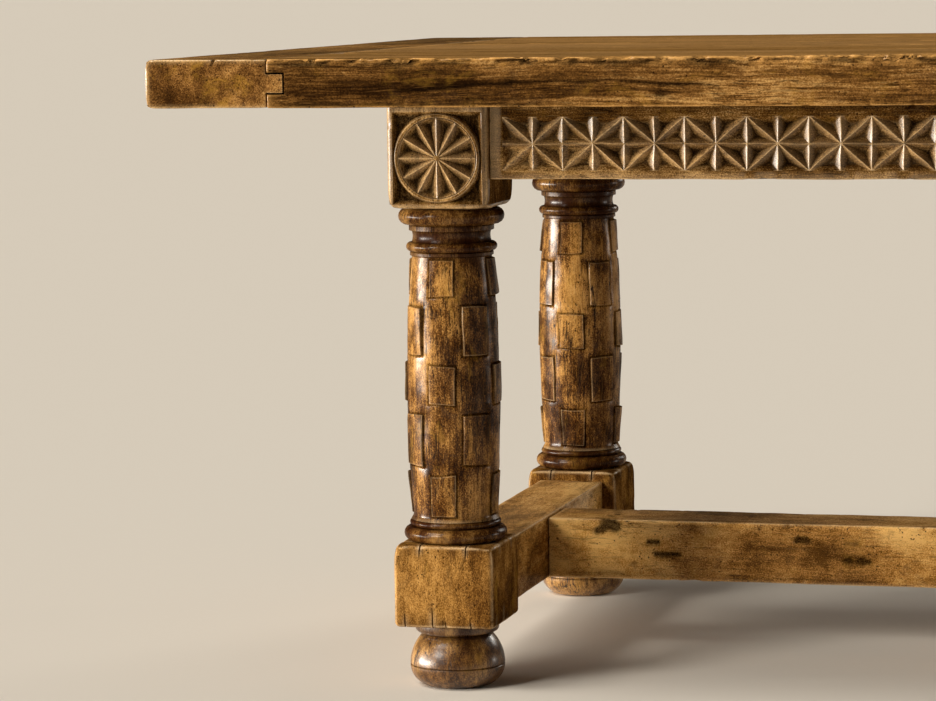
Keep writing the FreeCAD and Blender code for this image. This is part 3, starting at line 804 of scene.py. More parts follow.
plank_wood = old_wood(
    "plank_wood", ((33, 18, 6), (68, 43, 16), (115, 79, 38)), streak=1.00, speckle=0.60, mottle=0.55,
    flecks=0.8, checks=0.5, coat=0.35, coat_rough=0.27, sheets=0.45, coat_rub=(0.35, 0.65),
    rubbed=(236, 178, 100))
board_wood = old_wood(
    "end_board_wood", ((54, 32, 11), (96, 63, 28), (146, 104, 54)), streak=0.25, speckle=0.85, mottle=1.00,
    flecks=0.7, checks=0.3, coat=0.8, sheets=0.4, coat_rub=(0.35, 0.65), rubbed=(240, 200, 140))
leg_wood = old_wood(
    "leg_wood", ((36, 17, 5), (95, 59, 21), (176, 127, 63)), streak=0.50, speckle=0.70, mottle=1.00,
    flecks=1.0, checks=1.0, coat=0.42)
foot_wood = old_wood(
    "foot_wood", ((52, 28, 8), (114, 76, 32), (186, 140, 76)), streak=0.25, speckle=0.45, mottle=1.00,
    flecks=0.8, checks=1.0, coat=1.00, coat_rough=0.26, specular=0.20)
carved_wood = old_wood(
    "carved_wood", ((36, 18, 5), (107, 72, 30), (204, 161, 101)), streak=0.40, speckle=0.60, mottle=0.50,
    flecks=0.7, checks=0.5, coat=0.75, coat_rough=0.31, coat_rub=(0.05, 0.16), rubbed=(240, 206, 156))
block_wood = old_wood(
    "base_block_wood", ((64, 38, 12), (113, 76, 32), (166, 121, 62)), streak=0.22, speckle=0.80, mottle=0.85,
    flecks=0.6, checks=0.4, coat=0.60, coat_rub=(0.35, 0.65))
bar_wood = old_wood(
    "stretcher_wood", ((97, 62, 19), (176, 123, 56), (224, 176, 102)), streak=0.26, speckle=0.80, mottle=0.85,
    flecks=0.6, checks=0.4, coat=0.35)
inner_wood_x = planed_wood("inner_wood_x", tone(86, 62, 38), tone(150, 118, 78), 0)
inner_wood_y = planed_wood("inner_wood_y", tone(86, 62, 38), tone(150, 118, 78), 1)
screw_steel = plain_steel("screw_steel")


# The top

def box_arrays(node):
    """Corners of a CAD node as arrays."""
    low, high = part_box(node)
    return np.array(low), np.array(high)


def eased_lines(stops, sides):
    """Lattice lines over the eased arrises beside two stops."""
    return [stop + side * step * joint_ease for stop, side in zip(stops, sides) for step in (0.5, 1.0)]


def make_plank(index, seed):
    """Plank with the grooves at its ends, and its edges knocked and rubbed."""
    node = "top_plank_%d" % index
    low, high = box_arrays(node)
    outer = {1: low[1], 5: high[1]}.get(index)
    inward = {1: 1, 5: -1}.get(index, 0)
    middle = (low[2] + high[2]) / 2
    half_groove = tongue_thickness / 2 + joint_gap
    groove = (middle - half_groove, middle + half_groove)
    floors = (low[0] + tongue_length + joint_gap, high[0] - tongue_length - joint_gap)
    near_arris = np.array([arris_line, *front_arris_lines] if inward else [arris_line])
    side_marks = outer + inward * near_arris[1:] if inward else []
    levels = [*groove, *eased_lines(groove, (-1, 1))]
    vein_x = []
    vein_z = []
    if inward > 0:
        vein_x = np.arange(low[0] + vein_lattice_inset, vein_lattice_end, vein_lattice_step)
        vein_z = [level for level in high[2] - np.arange(*vein_lattice_levels)
                  if np.min(np.abs(np.array(levels) - level)) > vein_lattice_gap]
    lines = block_lines(low, high, board_ease, front_plank_steps if inward else plank_steps, (
        [*floors, *eased_lines(floors, (1, -1)), *vein_x],
        [*side_marks, low[1] + arris_line, high[1] - arris_line],
        [*levels, *vein_z, *(high[2] - near_arris), low[2] + arris_line],
    ))

    def shape(points):
        moved = rounded(points, low, high, board_ease)
        past_floor = np.minimum(points[..., 0] - floors[0], floors[1] - points[..., 0])
        past_wall = np.abs(points[..., 2] - middle) - half_groove
        away = np.hypot(np.clip(past_floor, 0, None), np.clip(past_wall, 0, None))
        ease = joint_ease * np.clip(1 - away / joint_ease, 0, 1) ** 2 * 0.6
        on_front = np.abs(points[..., 1] - low[1]) < hair
        on_back = np.abs(points[..., 1] - high[1]) < hair
        moved[..., 1] += ease * on_front - ease * on_back
        return moved

    ends = ((low[0], floors[0]), (floors[1], high[0]))
    openings = []
    for side in (0, 1):
        openings.append((0, side, low[1], high[1], *groove))
        openings += [(1, side, *end, *groove) for end in ends]
    shell = block_shell(lines, board_ease, openings, shape)
    for floor, end in zip(floors, ends):
        for level in groove:
            wall(shell, (0, within(lines[0], end)), (1, lines[1]), 2, level, shape)
        wall(shell, (1, lines[1]), (2, within(lines[2], groove)), 0, floor, shape)

    def outer_wear(points):
        behind = np.abs(points[:, 1] - outer)
        below = high[2] - points[:, 2]
        away = np.hypot(behind, below)
        ragged = np.clip(0.65 + 1.2 * fractal(points, edge_chip_blotch, 91), 0.0, 1.8)
        chipped = np.zeros(len(points))
        for place, length, depth in edge_chips:
            chipped += depth * np.exp(-((points[:, 0] - place * inward) / (length / 2)) ** 4)
        crumbs = np.clip(fractal(points * np.array([0.5, 1, 1]), crumb_blotch, 93) + 0.05, 0, 0.8)
        crumbs *= crumb_depth * bell(below - crumb_line, crumb_reach) * (behind < crumb_behind)
        top_rub = top_rub_depth * np.clip(0.4 + fractal(points, top_rub_blotch, 95), 0, 1.4)
        return chipped * ragged * bell(away, edge_chip_reach) + crumbs + top_rub * bell(away, top_rub_reach)

    def outer_scars(points):
        below = high[2] - points[:, 2]
        flecked = fractal(points * np.array([0.35, 1, 1]), edge_scar_blotch, 97)
        broken = smooth_step((flecked + 0.05) / 0.35)
        total = broken * bell(below - edge_scar_line, edge_scar_reach)
        if inward > 0:
            places, depths = np.array(dark_vein).T
            length_only = points * np.array([1, 0, 0])
            wander = vein_wander[1] * fractal(length_only, vein_wander[0], 98)
            swelling = vein_swelling[1] * fractal(length_only, vein_swelling[0], 99)
            least, usual, most = vein_half_widths
            thick = np.clip(usual + swelling, least, most)
            vein = bell(below - np.interp(points[:, 0], places, depths) - wander, thick)
            total += vein * (points[:, 0] > places[0]) * (points[:, 0] < places[-1]) * 1.3
            for place, depth, radius in dark_knots:
                total += np.exp(-(((points[:, 0] - place) / 1.6) ** 2 + (below - depth) ** 2) / radius ** 2)
        return total * (np.abs(points[:, 1] - outer) < edge_scar_behind)

    # Lighter band along the front top arris: wear and a painted highlight.
    def outer_worn_and_lit(points):
        return 0.6 * bell(np.hypot(points[:, 1] - outer, high[2] - points[:, 2]), outer_worn_lit_reach)

    worn_edge = {"extra_wear": outer_wear, "scars": outer_scars, "worn_and_lit": outer_worn_and_lit} if inward else {}
    add_piece("plank_%d" % index, node, "top_wood", plank_wood, shell, "x", seed, *plank_weather, fade=0.56,
              arris_wear_light_width=0.0030, **worn_edge)


def make_end_board(side, seed):
    """Board across the plank ends, with its tongue."""
    name = "left" if side < 0 else "right"
    node = "end_board_" + name
    low, high = box_arrays(node)
    middle = (low[2] + high[2]) / 2
    tongue = (middle - tongue_thickness / 2, middle + tongue_thickness / 2)
    past_tongue = [np.zeros(3), np.zeros(3)]
    if side < 0:
        tip = high[0]
        high[0] -= tongue_length
        root, outer, front = high[0], low[0], low[1]
        past_tongue[1][0] = 1.0
    else:
        tip = low[0]
        low[0] += tongue_length
        root, outer, front = low[0], high[0], high[1]
        past_tongue[0][0] = -1.0
    beside = [level + step for level in tongue for step in (-tongue_line, tongue_line)]
    notch = -side * board_notch
    notch_marks = notch + board_notch_half * np.array([-1, -0.5, 0, 0.5, 1])
    arris_marks = [(low[k] + arris_line, high[k] - arris_line) for k in range(3)]
    lines = block_lines(low, high, board_ease, board_steps, (
        [*notch_marks, *arris_marks[0]], arris_marks[1], [*tongue, *beside, *arris_marks[2]]))

    def shape(points):
        on_tongue = (points[..., 2:] > tongue[0] - hair) & (points[..., 2:] < tongue[1] + hair)
        straight = rounded(points, low + past_tongue[0], high + past_tongue[1], board_ease)
        return np.where(on_tongue, straight, rounded(points, low, high, board_ease))

    shell = block_shell(lines, board_ease, [(0, 1 if side < 0 else 0, low[1], high[1], *tongue)], shape)
    run = np.sort(np.append(np.linspace(root, tip, 5), tip + side * tongue_line))
    on_tongue = within(lines[2], tongue)
    for level in tongue:
        wall(shell, (0, run), (1, lines[1]), 2, level)
    wall(shell, (1, lines[1]), (2, on_tongue), 0, tip)
    for level in (low[1], high[1]):
        wall(shell, (0, run), (2, on_tongue), 1, level)

    def distances(points):
        """Distances to the outer end, to the nearer of top and bottom, and to the nearer long end."""
        beside_end = np.abs(points[:, 0] - outer)
        below = np.minimum(high[2] - points[:, 2], points[:, 2] - low[2])
        behind = np.minimum(high[1] - points[:, 1], points[:, 1] - low[1])
        return beside_end, below, behind

    def outer_wear(points):
        beside_end, below, behind = distances(points)
        away = np.hypot(beside_end, below)
        corner = np.hypot(beside_end, behind)
        rough = np.clip(0.7 + 0.5 * fractal(points, board_rub_blotch, 71), 0.1, 1.5)
        rubbed = outer_arris_wear * rough * bell(np.minimum(away, corner), outer_arris_reach)
        rubbed += board_corner_wear * bell(np.hypot(away, corner), board_corner_reach)
        from_arris = np.hypot(points[:, 1] - front, points[:, 2] - high[2])
        cut = np.clip(1 - np.abs(points[:, 0] - notch) / board_notch_half, 0, 1)
        return rubbed + board_notch_depth * cut * bell(from_arris, board_notch_reach)

    # Lighter band along the outer end's arrises: wear and a painted highlight.
    def outer_worn_and_lit(points):
        beside_end, below, behind = distances(points)
        upright = bell(np.hypot(beside_end, behind), board_upright_reach)
        level = bell(np.hypot(below, np.minimum(behind, beside_end)), board_level_reach)
        return np.maximum(upright, 0.8 * level)

    # Blotchy darkening in a band along the bottom of the board.
    def bottom_band_dark(points):
        broken = smooth_step((fractal(points, board_low_blotch, seed + 73) - 0.25) / 0.5)
        return 0.8 * broken * bell(points[:, 2] - low[2] - board_low_band, board_low_band)

    add_piece("board_" + name, node, "top_wood", board_wood, shell, "y", seed, *board_weather, outer_wear,
              scars=bottom_band_dark, worn_and_lit=outer_worn_and_lit, fade=0.15)


# The legs

def wheel_turns():
    """Turns of the wheel's lattice lines, close together at each ridge between two rays."""
    half_ray = math.pi / wheel_ray_count
    first = np.array(wheel_turn_shares) * half_ray
    ray = np.concatenate([first, 2 * half_ray - first[-2:0:-1]])
    turns = [ray + 2 * half_ray * number for number in range(wheel_ray_count)]
    return np.append(np.concatenate(turns), 2 * math.pi)


def crest_wear_and_sheen(away):
    """Wear with a painted highlight on a carved crest and, more weakly, wear with a painted sheen on the
    facets beside it.
    """
    return np.maximum(bell(away, ridge_wear_light_reach), facet_wear_and_sheen * bell(away, facet_wear_and_sheen_reach))


def wheel_patch(face, middle_z):
    """Carved wheel of a panel that looks along -Y: rays, ring and sunk corners, with painted shade deepening
    into the cuts and corners, and wear with painted highlights on the crests, the ring's edges and the
    frame's inner edge.
    """
    angle = wheel_turns()
    ones = np.ones(len(angle))
    square = wheel_field_half / np.maximum(np.abs(np.cos(angle)), np.abs(np.sin(angle)))
    ring_inner = wheel_ring_outer - wheel_ring_width
    half_ray = math.pi / wheel_ray_count
    off_ridge = half_ray - np.abs((angle % (2 * half_ray)) - half_ray)
    inner_radii = np.concatenate([
        [0, wheel_hub_radius * 0.7],
        np.linspace(wheel_hub_radius, ring_inner * 0.80, 11),
        ring_inner * np.array(wheel_rim_shares),
    ])
    rows = []
    for radius in inner_radii:
        to_ridge = radius * np.sin(off_ridge)
        to_ring = (ring_inner - radius) * 1.3
        to_hub = (radius - wheel_hub_radius) * 0.9
        into = soft_ramp(np.minimum(np.minimum(to_ridge - ridge_width / 2, to_ring), to_hub), ridge_round)
        depth = np.minimum(into * wheel_chip_slope, wheel_chip_depth)
        # Painted shade, with dark glaze, growing with the depth of the cut.
        cavity = np.clip(depth / wheel_chip_depth, 0, 1) ** 1.8 * 0.97
        ridge = crest_wear_and_sheen(to_ridge) * (radius > wheel_hub_radius)
        rows.append((radius * ones, depth, cavity, ridge))
    for turn in np.linspace(-1, 1, 9):
        radius = wheel_ring_outer + wheel_ring_width / 2 * (turn - 1)
        depth = wheel_ring_width / 2 * (1 - math.sqrt(1 - 0.96 * turn ** 4)) * 0.8
        # Lighter edges of the ring: wear and a painted highlight.
        ridge = 0.55 * bell(abs(turn) - 0.75, 0.25)
        rows.append((radius * ones, depth * ones, 0 * ones, ridge * ones))
    for share in wheel_corner_shares:
        radius = wheel_ring_outer + (square - wheel_ring_outer) * share
        off_centre = np.maximum(np.abs(radius * np.cos(angle)), np.abs(radius * np.sin(angle)))
        from_frame = (wheel_panel_half - off_centre) / wheel_panel_slope
        from_ring = (radius - wheel_ring_outer) / wheel_ring_slope
        sunk = np.clip(np.minimum(from_frame, from_ring), 0, 1)
        # Sunk corners darkened as painted shade, with dark glaze.
        rows.append((radius, wheel_panel_depth * sunk, 0.9 * sunk ** 2, 0 * ones))
    # Lighter inner edge of the frame: wear and a painted highlight.
    rows.append((square, 0 * ones, 0 * ones, 0.45 * ones))
    radius, depth, cavity, ridge = (np.array(group) for group in zip(*rows))
    points = np.stack([radius * np.sin(angle), face + depth, middle_z + radius * np.cos(angle)], axis=-1)
    return points, cavity, ridge


def corner_distance(points, low, high, level):
    """Distance to the nearest of a block's four corners at one level."""
    middle = (low + high) / 2
    sideways = np.hypot(*(np.abs(points - middle)[:, :2] - (high - middle)[:2]).T)
    return np.hypot(sideways, points[:, 2] - level)


def make_cap_block(corner, seed):
    """Head block with the carved wheels on its two outer faces."""
    node = "cap_block_" + corner
    low, high = box_arrays(node)
    middle = (low + high) / 2
    half = (high[0] - low[0]) / 2
    middle_z = high[2] - wheel_centre_drop
    turns = wheel_turns()
    eighth = turns[turns < math.pi / 4 + 1e-6]
    marks = wheel_field_half * np.tan(np.concatenate([-eighth[:0:-1], eighth]))
    lines = block_lines((-half, -half, low[2]), (half, half, high[2]), block_round, cap_steps,
                        (marks, marks, marks + middle_z))
    panel = wheel_field_half
    openings = [(axis, 0, -panel, panel, middle_z - panel, middle_z + panel) for axis in (0, 1)]
    shell = block_shell(lines, block_round, openings)
    points, cavity, ridge = wheel_patch(-half, middle_z)
    for turn in (0, -90):
        shell.patch(turned(points, turn), cavity=cavity, ridge=ridge)
    centre = middle * np.array([1, 1, 0])
    shell.points = [turned(part, corner_turns[corner]) + centre for part in shell.points]

    def corner_wear(points):
        return cap_corner_wear * bell(corner_distance(points, low, high, low[2]), cap_corner_reach)

    # The frame round each wheel lightened: partly wear, partly a painted highlight.
    def frame_worn_and_lit(points):
        off = np.abs(points - np.array([middle[0], middle[1], middle_z]))
        outside = np.maximum(np.minimum(off[:, 0], off[:, 1]), off[:, 2]) - wheel_field_half
        return cap_frame_wear_and_light * smooth_step((outside + cap_frame_fade / 2) / cap_frame_fade)

    add_piece("cap_" + corner, node, "frame_wood", carved_wood, shell, "z", seed, *cap_weather, corner_wear,
              worn_and_lit=frame_worn_and_lit, burnish=0.3)


def revolve(shell, profile, angles, centre, rise=0.0, **marked):
    """Turned surface from (radius, height) rows, closed at both ends on its axis."""
    radius, height = np.array(profile).T
    radii = np.repeat(radius[:, None], len(angles), axis=1) + rise
    points = np.stack([
        centre[0] + radii * np.sin(angles),
        centre[1] - radii * np.cos(angles),
        np.repeat(height[:, None], len(angles), axis=1),
    ], axis=-1)
    shell.patch(points, **marked)


def half_round(radius, low, height, rows=9):
    """Rows of a half-round bead."""
    half = height / 2
    turns = np.linspace(-math.pi / 2, math.pi / 2, rows)
    return [(radius - half + half * math.cos(turn), low + half * (1 + math.sin(turn))) for turn in turns]


def step_rows(radius, low, high, ease=0.0008):
    """Rows of a short upright band with eased corners."""
    return [(radius - ease, low), (radius, low + ease), (radius, (low + high) / 2), (radius, high - ease),
            (radius - ease, high)]


def shaft_turns():
    """Turns of the shaft's lattice lines in degrees, close together at the sides of the tiles."""
    sector = 360 / tile_column_count
    half_tile = tile_angle / 2
    lip = math.degrees(tile_lip / shaft_middle_radius)
    inside = half_tile - lip
    sides = [inside * 0.34, inside * 0.68, inside - lip, inside, half_tile]
    sides += [half_tile + lip * 0.6, half_tile + lip * 1.5]
    relative = np.array([*(-side for side in reversed(sides)), 0.0, *sides, sector / 2])
    turns = np.concatenate([relative + sector * column for column in range(tile_column_count)])
    return np.append(turns, turns[0] + 360)


def shaft_heights(low, high):
    """Heights of the shaft's lattice lines, close together at the ends of the tiles."""
    heights = {low, high}
    for share in np.ravel(even_tile_shares + odd_tile_shares):
        place = low + share * (high - low)
        for step in (-1.5, -0.6, 0, 1.0, 2.0):
            heights |= {place + step * tile_lip, place - step * tile_lip}
    heights = sorted(height for height in heights if low <= height <= high)
    filled = []
    for start, end in zip(heights, heights[1:]):
        count = max(1, math.ceil((end - start) / shaft_step))
        filled += list(np.linspace(start, end, count, endpoint=False))
    return np.array(filled + [high])


def shaft_radii(heights, low, high):
    """Radii of the swelling shaft, flared at its foot."""
    share = (heights - low) / (high - low)
    straight = shaft_bottom_radius + (shaft_top_radius - shaft_bottom_radius) * share
    belly = shaft_middle_radius - (shaft_bottom_radius + shaft_top_radius) / 2
    return straight + belly * 4 * share * (1 - share) + shaft_flare * np.exp(-(heights - low) / shaft_flare)


def shaft_tiles(turns, heights, low, high, seed):
    """Rise of the shaft's tiles, each a little tilted, the grooves round them and painted glints on their
    rims.
    """
    length = high - low
    half_tile = tile_angle / 2
    chance = np.random.default_rng(seed)
    rise = np.zeros((len(heights), len(turns)))
    groove = np.zeros_like(rise)
    rims = np.zeros_like(rise)
    for column in range(tile_column_count):
        off_middle = (turns - column * 360 / tile_column_count + 180) % 360 - 180
        across = np.radians(half_tile - np.abs(off_middle)) * shaft_middle_radius
        for tile_low, tile_high in (odd_tile_shares if column % 2 else even_tile_shares):
            along = np.minimum(heights - (low + tile_low * length), low + tile_high * length - heights)
            inward = np.minimum(along[:, None], across[None, :])
            height = tile_rise * chance.uniform(0.70, 1.15)
            tilt = chance.uniform(-0.50, 0.50, 2)
            up = heights - (low + (tile_low + tile_high) / 2 * length)
            up = up / ((tile_high - tile_low) / 2 * length)
            sideways = np.clip(off_middle / half_tile, -1, 1)
            lean = 1 + tilt[0] * sideways + tilt[1] * np.clip(up, -1, 1)[:, None]
            rise = np.maximum(rise, height * smooth_step(inward / tile_lip) * lean)
            # Painted glint along each tile's rim, stronger on some tiles than others.
            rim = bell(inward - tile_lip, tile_lip * 0.4)
            rims = np.maximum(rims, rim * chance.uniform(0.05, 0.50))
            near = bell(inward + tile_lip * 0.6, tile_lip * 0.8) * (inward <= 0)
            groove = np.maximum(groove, near * np.exp(-np.clip(-inward - 2 * tile_lip, 0, None) * 5000))
    return rise - tile_groove * groove, groove, rims


def uneven_shaft(points, centre, low, high, seed):
    """Points of a column moved by its uneven carving: sideways, outward and along the shaft."""
    on_shaft = smooth_step((points[:, 2] - low) / shaft_end) * smooth_step((high - points[:, 2]) / shaft_end)
    around = np.stack([-(points[:, 1] - centre[1]), points[:, 0] - centre[0], np.zeros(len(points))], axis=1)
    around /= np.maximum(np.linalg.norm(around, axis=1, keepdims=True), hair)
    outward = around[:, [1, 0, 2]] * np.array([1, -1, 1])
    moved = points
    for (blotch, depth), direction, step in ((shaft_sway, around, 3), (shaft_hewing, outward, 9),
                                             (shaft_lift, np.array([0, 0, 1.0]), 5)):
        moved = moved + direction * (fractal(points, blotch, seed + step, 2) * depth * on_shaft)[:, None]
    return moved


def make_column(corner, seed):
    """Turned column with its mouldings and raised tiles."""
    base_low, base_high = box_arrays("base_block_" + corner)
    centre = (base_low + base_high) / 2
    low = base_high[2]
    high = box_arrays("cap_block_" + corner)[0][2]
    bead_high = low + base_bead_height
    shaft_low = bead_high + base_fillet_height
    collar_low = high - collar_height
    neck_high = collar_low - collar_fillet_height
    neck_low = neck_high - neck_height
    ring_low = neck_low - ring_height
    shaft_high = ring_low - ring_fillet_height

    turns = shaft_turns()
    heights = shaft_heights(shaft_low, shaft_high)
    rise, groove, rims = shaft_tiles(turns, heights, shaft_low, shaft_high, seed)
    below = [(0.0, low)] + half_round(base_bead_radius, low, base_bead_height)
    below += half_round(base_fillet_radius, bead_high, base_fillet_height, 7)
    above = step_rows(ring_fillet_radius, shaft_high, ring_low)
    above += half_round(ring_radius, ring_low, ring_height, 8)
    above += [(neck_radius - neck_hollow * math.sin(math.pi * share), neck_low + neck_height * share)
              for share in np.linspace(0, 1, 6)]
    above += step_rows(collar_fillet_radius, neck_high, collar_low)
    above += half_round(collar_radius, collar_low, collar_height) + [(0.0, high)]
    profile = below + list(zip(shaft_radii(heights, shaft_low, shaft_high), heights)) + above

    levels = np.array([level for _, level in profile])
    stain = np.full(len(profile), 0.60)
    for top, share in ((collar_low, 0.85), (neck_high, 0.95), (neck_low, 0.72), (ring_low, 0.85),
                       (shaft_high, 0.0), (shaft_low, 0.85), (bead_high, 0.70)):
        stain[levels < top - hair] = share
    on_shaft = (levels >= shaft_low - hair) & (levels < shaft_high - hair)
    from_end = np.minimum(levels - shaft_low, shaft_high - levels)
    stain[on_shaft] = 0.55 * np.exp(-from_end[on_shaft] / shaft_end)

    grids = {}
    # Tile grooves darkened as painted shade with dark glaze; tile rims lightened as painted glints.
    for title, values in (("rise", rise), ("cavity", 0.58 * groove), ("ridge", rims)):
        grids[title] = np.zeros((len(profile), len(turns)))
        grids[title][len(below):len(below) + len(heights)] = values
    shell = Shell()
    revolve(shell, profile, np.radians(turns), centre, stain=stain[:, None], **grids)
    shell.points[0] = uneven_shaft(shell.points[0], centre, shaft_low, shaft_high, seed)
    add_piece("column_" + corner, "leg_column_" + corner, "frame_wood", leg_wood, shell, "z", seed,
              *column_weather, sharp=34.0)


def make_base_block(corner, seed):
    """Base block with rubbed edges and short drying cracks."""
    node = "base_block_" + corner
    low, high = box_arrays(node)
    middle = (low + high) / 2
    half_crack = crack_width / 2
    places = [place for place, _, _ in top_cracks + bottom_cracks]
    marks = np.array(sorted(place + side * half_crack for place in places for side in (-1, 0, 1)))
    lines = block_lines(low, high, block_round, base_steps, (middle[0] + marks, middle[1] + marks, ()))
    shell = block_shell(lines, block_round)

    def cracks(points):
        total = np.zeros(len(points))
        below = high[2] - points[:, 2]
        above = points[:, 2] - low[2]
        for axis in (0, 1):
            across = points[:, axis] - middle[axis]
            for group, distance in ((top_cracks, below), (bottom_cracks, above)):
                for place, length, depth in group:
                    cut = np.clip(1 - np.abs(across - place) / half_crack, 0, 1)
                    total = np.maximum(total, depth * cut * np.clip(1 - distance / length, 0, 1) ** 0.5)
        return total + base_corner_wear * bell(corner_distance(points, low, high, high[2]), base_corner_reach)

    add_piece("base_" + corner, node, "frame_wood", block_wood, shell, "z", seed, *base_weather, cracks,
              burnish=0.6)


def make_foot(corner, seed):
    """Bun foot with a scored line and a thin disc above it."""
    base_low, base_high = box_arrays("base_block_" + corner)
    top = base_low[2]

    def bulge(end_radius, end_height, count):
        rise = end_height - bun_widest_height
        shrink = bun_radius - end_radius
        curve = (shrink ** 2 + rise ** 2) / (2 * shrink)
        turns = np.linspace(0, math.asin(rise / curve), count)
        return [(bun_radius - curve + curve * math.cos(turn), bun_widest_height + curve * math.sin(turn))
                for turn in turns]

    line_low = bun_widest_height - bun_line_width / 2
    line_high = bun_widest_height + bun_line_width / 2
    lower = [row for row in bulge(bun_base_radius, 0, 16)[::-1] if row[1] < line_low]
    upper = [row for row in bulge(bun_neck_radius, bun_height, 18) if row[1] > line_high]
    scored = [(bun_radius - bun_line_lip, line_low), (bun_radius - bun_line_depth, bun_widest_height),
              (bun_radius - bun_line_lip, line_high)]
    disc = [(disc_radius + disc_round * (math.cos(turn) - 1), bun_height + disc_round * (math.sin(turn) + 1))
            for turn in np.linspace(-math.pi / 2, 0, 5)]
    disc += [(disc_radius, (bun_height + disc_round + top) / 2), (disc_radius, top - disc_ease),
             (disc_radius - disc_ease * 0.8, top), (0.0, top)]
    profile = [(0.0, 0.0), (bun_base_radius * 0.6, 0.0)] + lower + scored + upper + disc
    levels = np.array([level for _, level in profile])
    bun_stain = 0.30 * smooth_step((levels - bun_stain_low) / bun_stain_run)
    stain = np.where(levels > bun_height - bun_stain_top, 0.70, bun_stain)
    shell = Shell()
    revolve(shell, profile, np.linspace(0, 2 * math.pi, 97), (base_low + base_high) / 2, stain=stain[:, None])

    def still(points):
        return smooth_step(points[:, 2] / bun_still_height)

    add_piece("foot_" + corner, "bun_foot_" + corner, "frame_wood", foot_wood, shell, "z", seed,
              *foot_weather, still=still, sharp=34.0)


# The aprons

def chip_patches(shell, corners, crests, face, chance):
    """One carved chip: three sloping facets that meet below the face; a crest may carry wear with a painted
    highlight, and the facets darken towards the tip as painted shade with dark glaze.
    """
    places = [np.array(corner) for corner in corners]
    sides = [np.linalg.norm(places[k - 2] - places[k - 1]) for k in range(3)]
    around = sum(sides)
    tip = sum(side * place for side, place in zip(sides, places)) / around
    half = around / 2
    reach = math.sqrt((half - sides[0]) * (half - sides[1]) * (half - sides[2]) / half)
    tip = tip + chance.uniform(-chip_wander, chip_wander, 2)
    depth = chip_depth * chance.uniform(*chip_depth_shares)
    inward = np.array(chip_inward_shares)
    drop = soft_ramp(inward * reach - ridge_width / 2, ridge_round)
    drop = drop / drop[-1] * depth
    # Painted shade, with dark glaze, growing with depth towards the tip.
    cavity = np.clip(drop / chip_depth, 0, 1) ** 1.7 * 0.97
    along = np.linspace(0, 1, chip_steps + 1)
    for k in range(3):
        start, end = places[k - 1], places[k]
        rim = start + (end - start) * along[:, None]
        flat = rim[:, None, :] + (tip - rim)[:, None, :] * inward[None, :, None]
        points = np.stack([flat[..., 0], np.broadcast_to(face + drop, flat.shape[:2]), flat[..., 1]], axis=-1)
        shell.patch(points, cavity=cavity, ridge=crests[k] * crest_wear_and_sheen(inward * reach))


def make_apron(name, length, turn, place, z_low, z_high, half_block, seed):
    """Apron with its star band, drawn looking along -Y and then turned into place."""
    face = -(half_block - apron_setback)
    half_band = (length - 2 * band_stile) / 2
    star_count = round(2 * half_band / star_pitch)
    half_pitch = half_band / star_count
    band_low = z_low + band_bottom_border
    band_high = band_low + band_height
    middle = (band_low + band_high) / 2
    x_marks = np.linspace(-half_band, half_band, 2 * star_count * chip_steps + 1)
    z_marks = np.linspace(band_low, band_high, 2 * chip_steps + 1)
    lines = block_lines((-length / 2, face, z_low), (length / 2, face + apron_thickness, z_high), board_ease,
                        apron_steps, (x_marks, (), z_marks))
    shell = block_shell(lines, board_ease, [(1, 0, -half_band, half_band, band_low, band_high)])
    chance = np.random.default_rng(seed)
    for cell in range(2 * star_count):
        left = cell * half_pitch - half_band
        right = left + half_pitch
        node, star = (left, right) if cell % 2 == 0 else (right, left)
        node_crest = 0.0 if cell in (0, 2 * star_count - 1) else 1.0
        for border in (band_low, band_high):
            chips = (((node, middle), (node_crest, 0.5, 0.8)), ((star, border), (0.0, 1.0, 0.8)))
            for square_corner, crests in chips:
                chip_patches(shell, [square_corner, (star, middle), (node, border)], crests, face, chance)

    blotch, depth = band_sway
    gathered = []
    for part in shell.points:
        in_band = part[:, 1] < face + band_sway_depth
        for inside in (half_band - np.abs(part[:, 0]), part[:, 2] - band_low, band_high - part[:, 2]):
            in_band = in_band * smooth_step(inside / band_sway_fade)
        sway = np.zeros_like(part)
        sway[:, 0] = fractal(part, blotch, seed + 41, 2)
        sway[:, 2] = fractal(part, blotch, seed + 43, 2)
        gathered.append(turned(part + sway * depth * in_band[:, None], turn) + place)
    shell.points = gathered
    along = 0 if turn in (0, 180) else 1

    # Painted fill light: the plain stiles at both ends of the apron are lightened against the shade the cap
    # blocks cast there.
    def stile_fill_light_mask(points):
        return stile_fill_light * smooth_step((np.abs(points[:, along]) - half_band) / stile_fade)

    add_piece(name + "_carved", name, "frame_wood", carved_wood, shell, "xy"[along], seed, *apron_weather,
              worn_and_lit=stile_fill_light_mask)


def make_aprons():
    """Four aprons between the cap blocks."""
    low, high = box_arrays("cap_block_front_left")
    half_block = (high[0] - low[0]) / 2
    leg_x = -(low[0] + high[0]) / 2
    leg_y = -(low[1] + high[1]) / 2
    long = 2 * (leg_x - half_block)
    short = 2 * (leg_y - half_block)
    for name, length, turn, place, seed in (("front_apron", long, 0, (0, -leg_y, 0), 301),
                                            ("back_apron", long, 180, (0, leg_y, 0), 302),
                                            ("left_apron", short, -90, (-leg_x, 0, 0), 303),
                                            ("right_apron", short, 90, (leg_x, 0, 0), 304)):
        make_apron(name, length, turn, np.array(place), high[2] - apron_height, high[2], half_block, seed)


# The stretchers

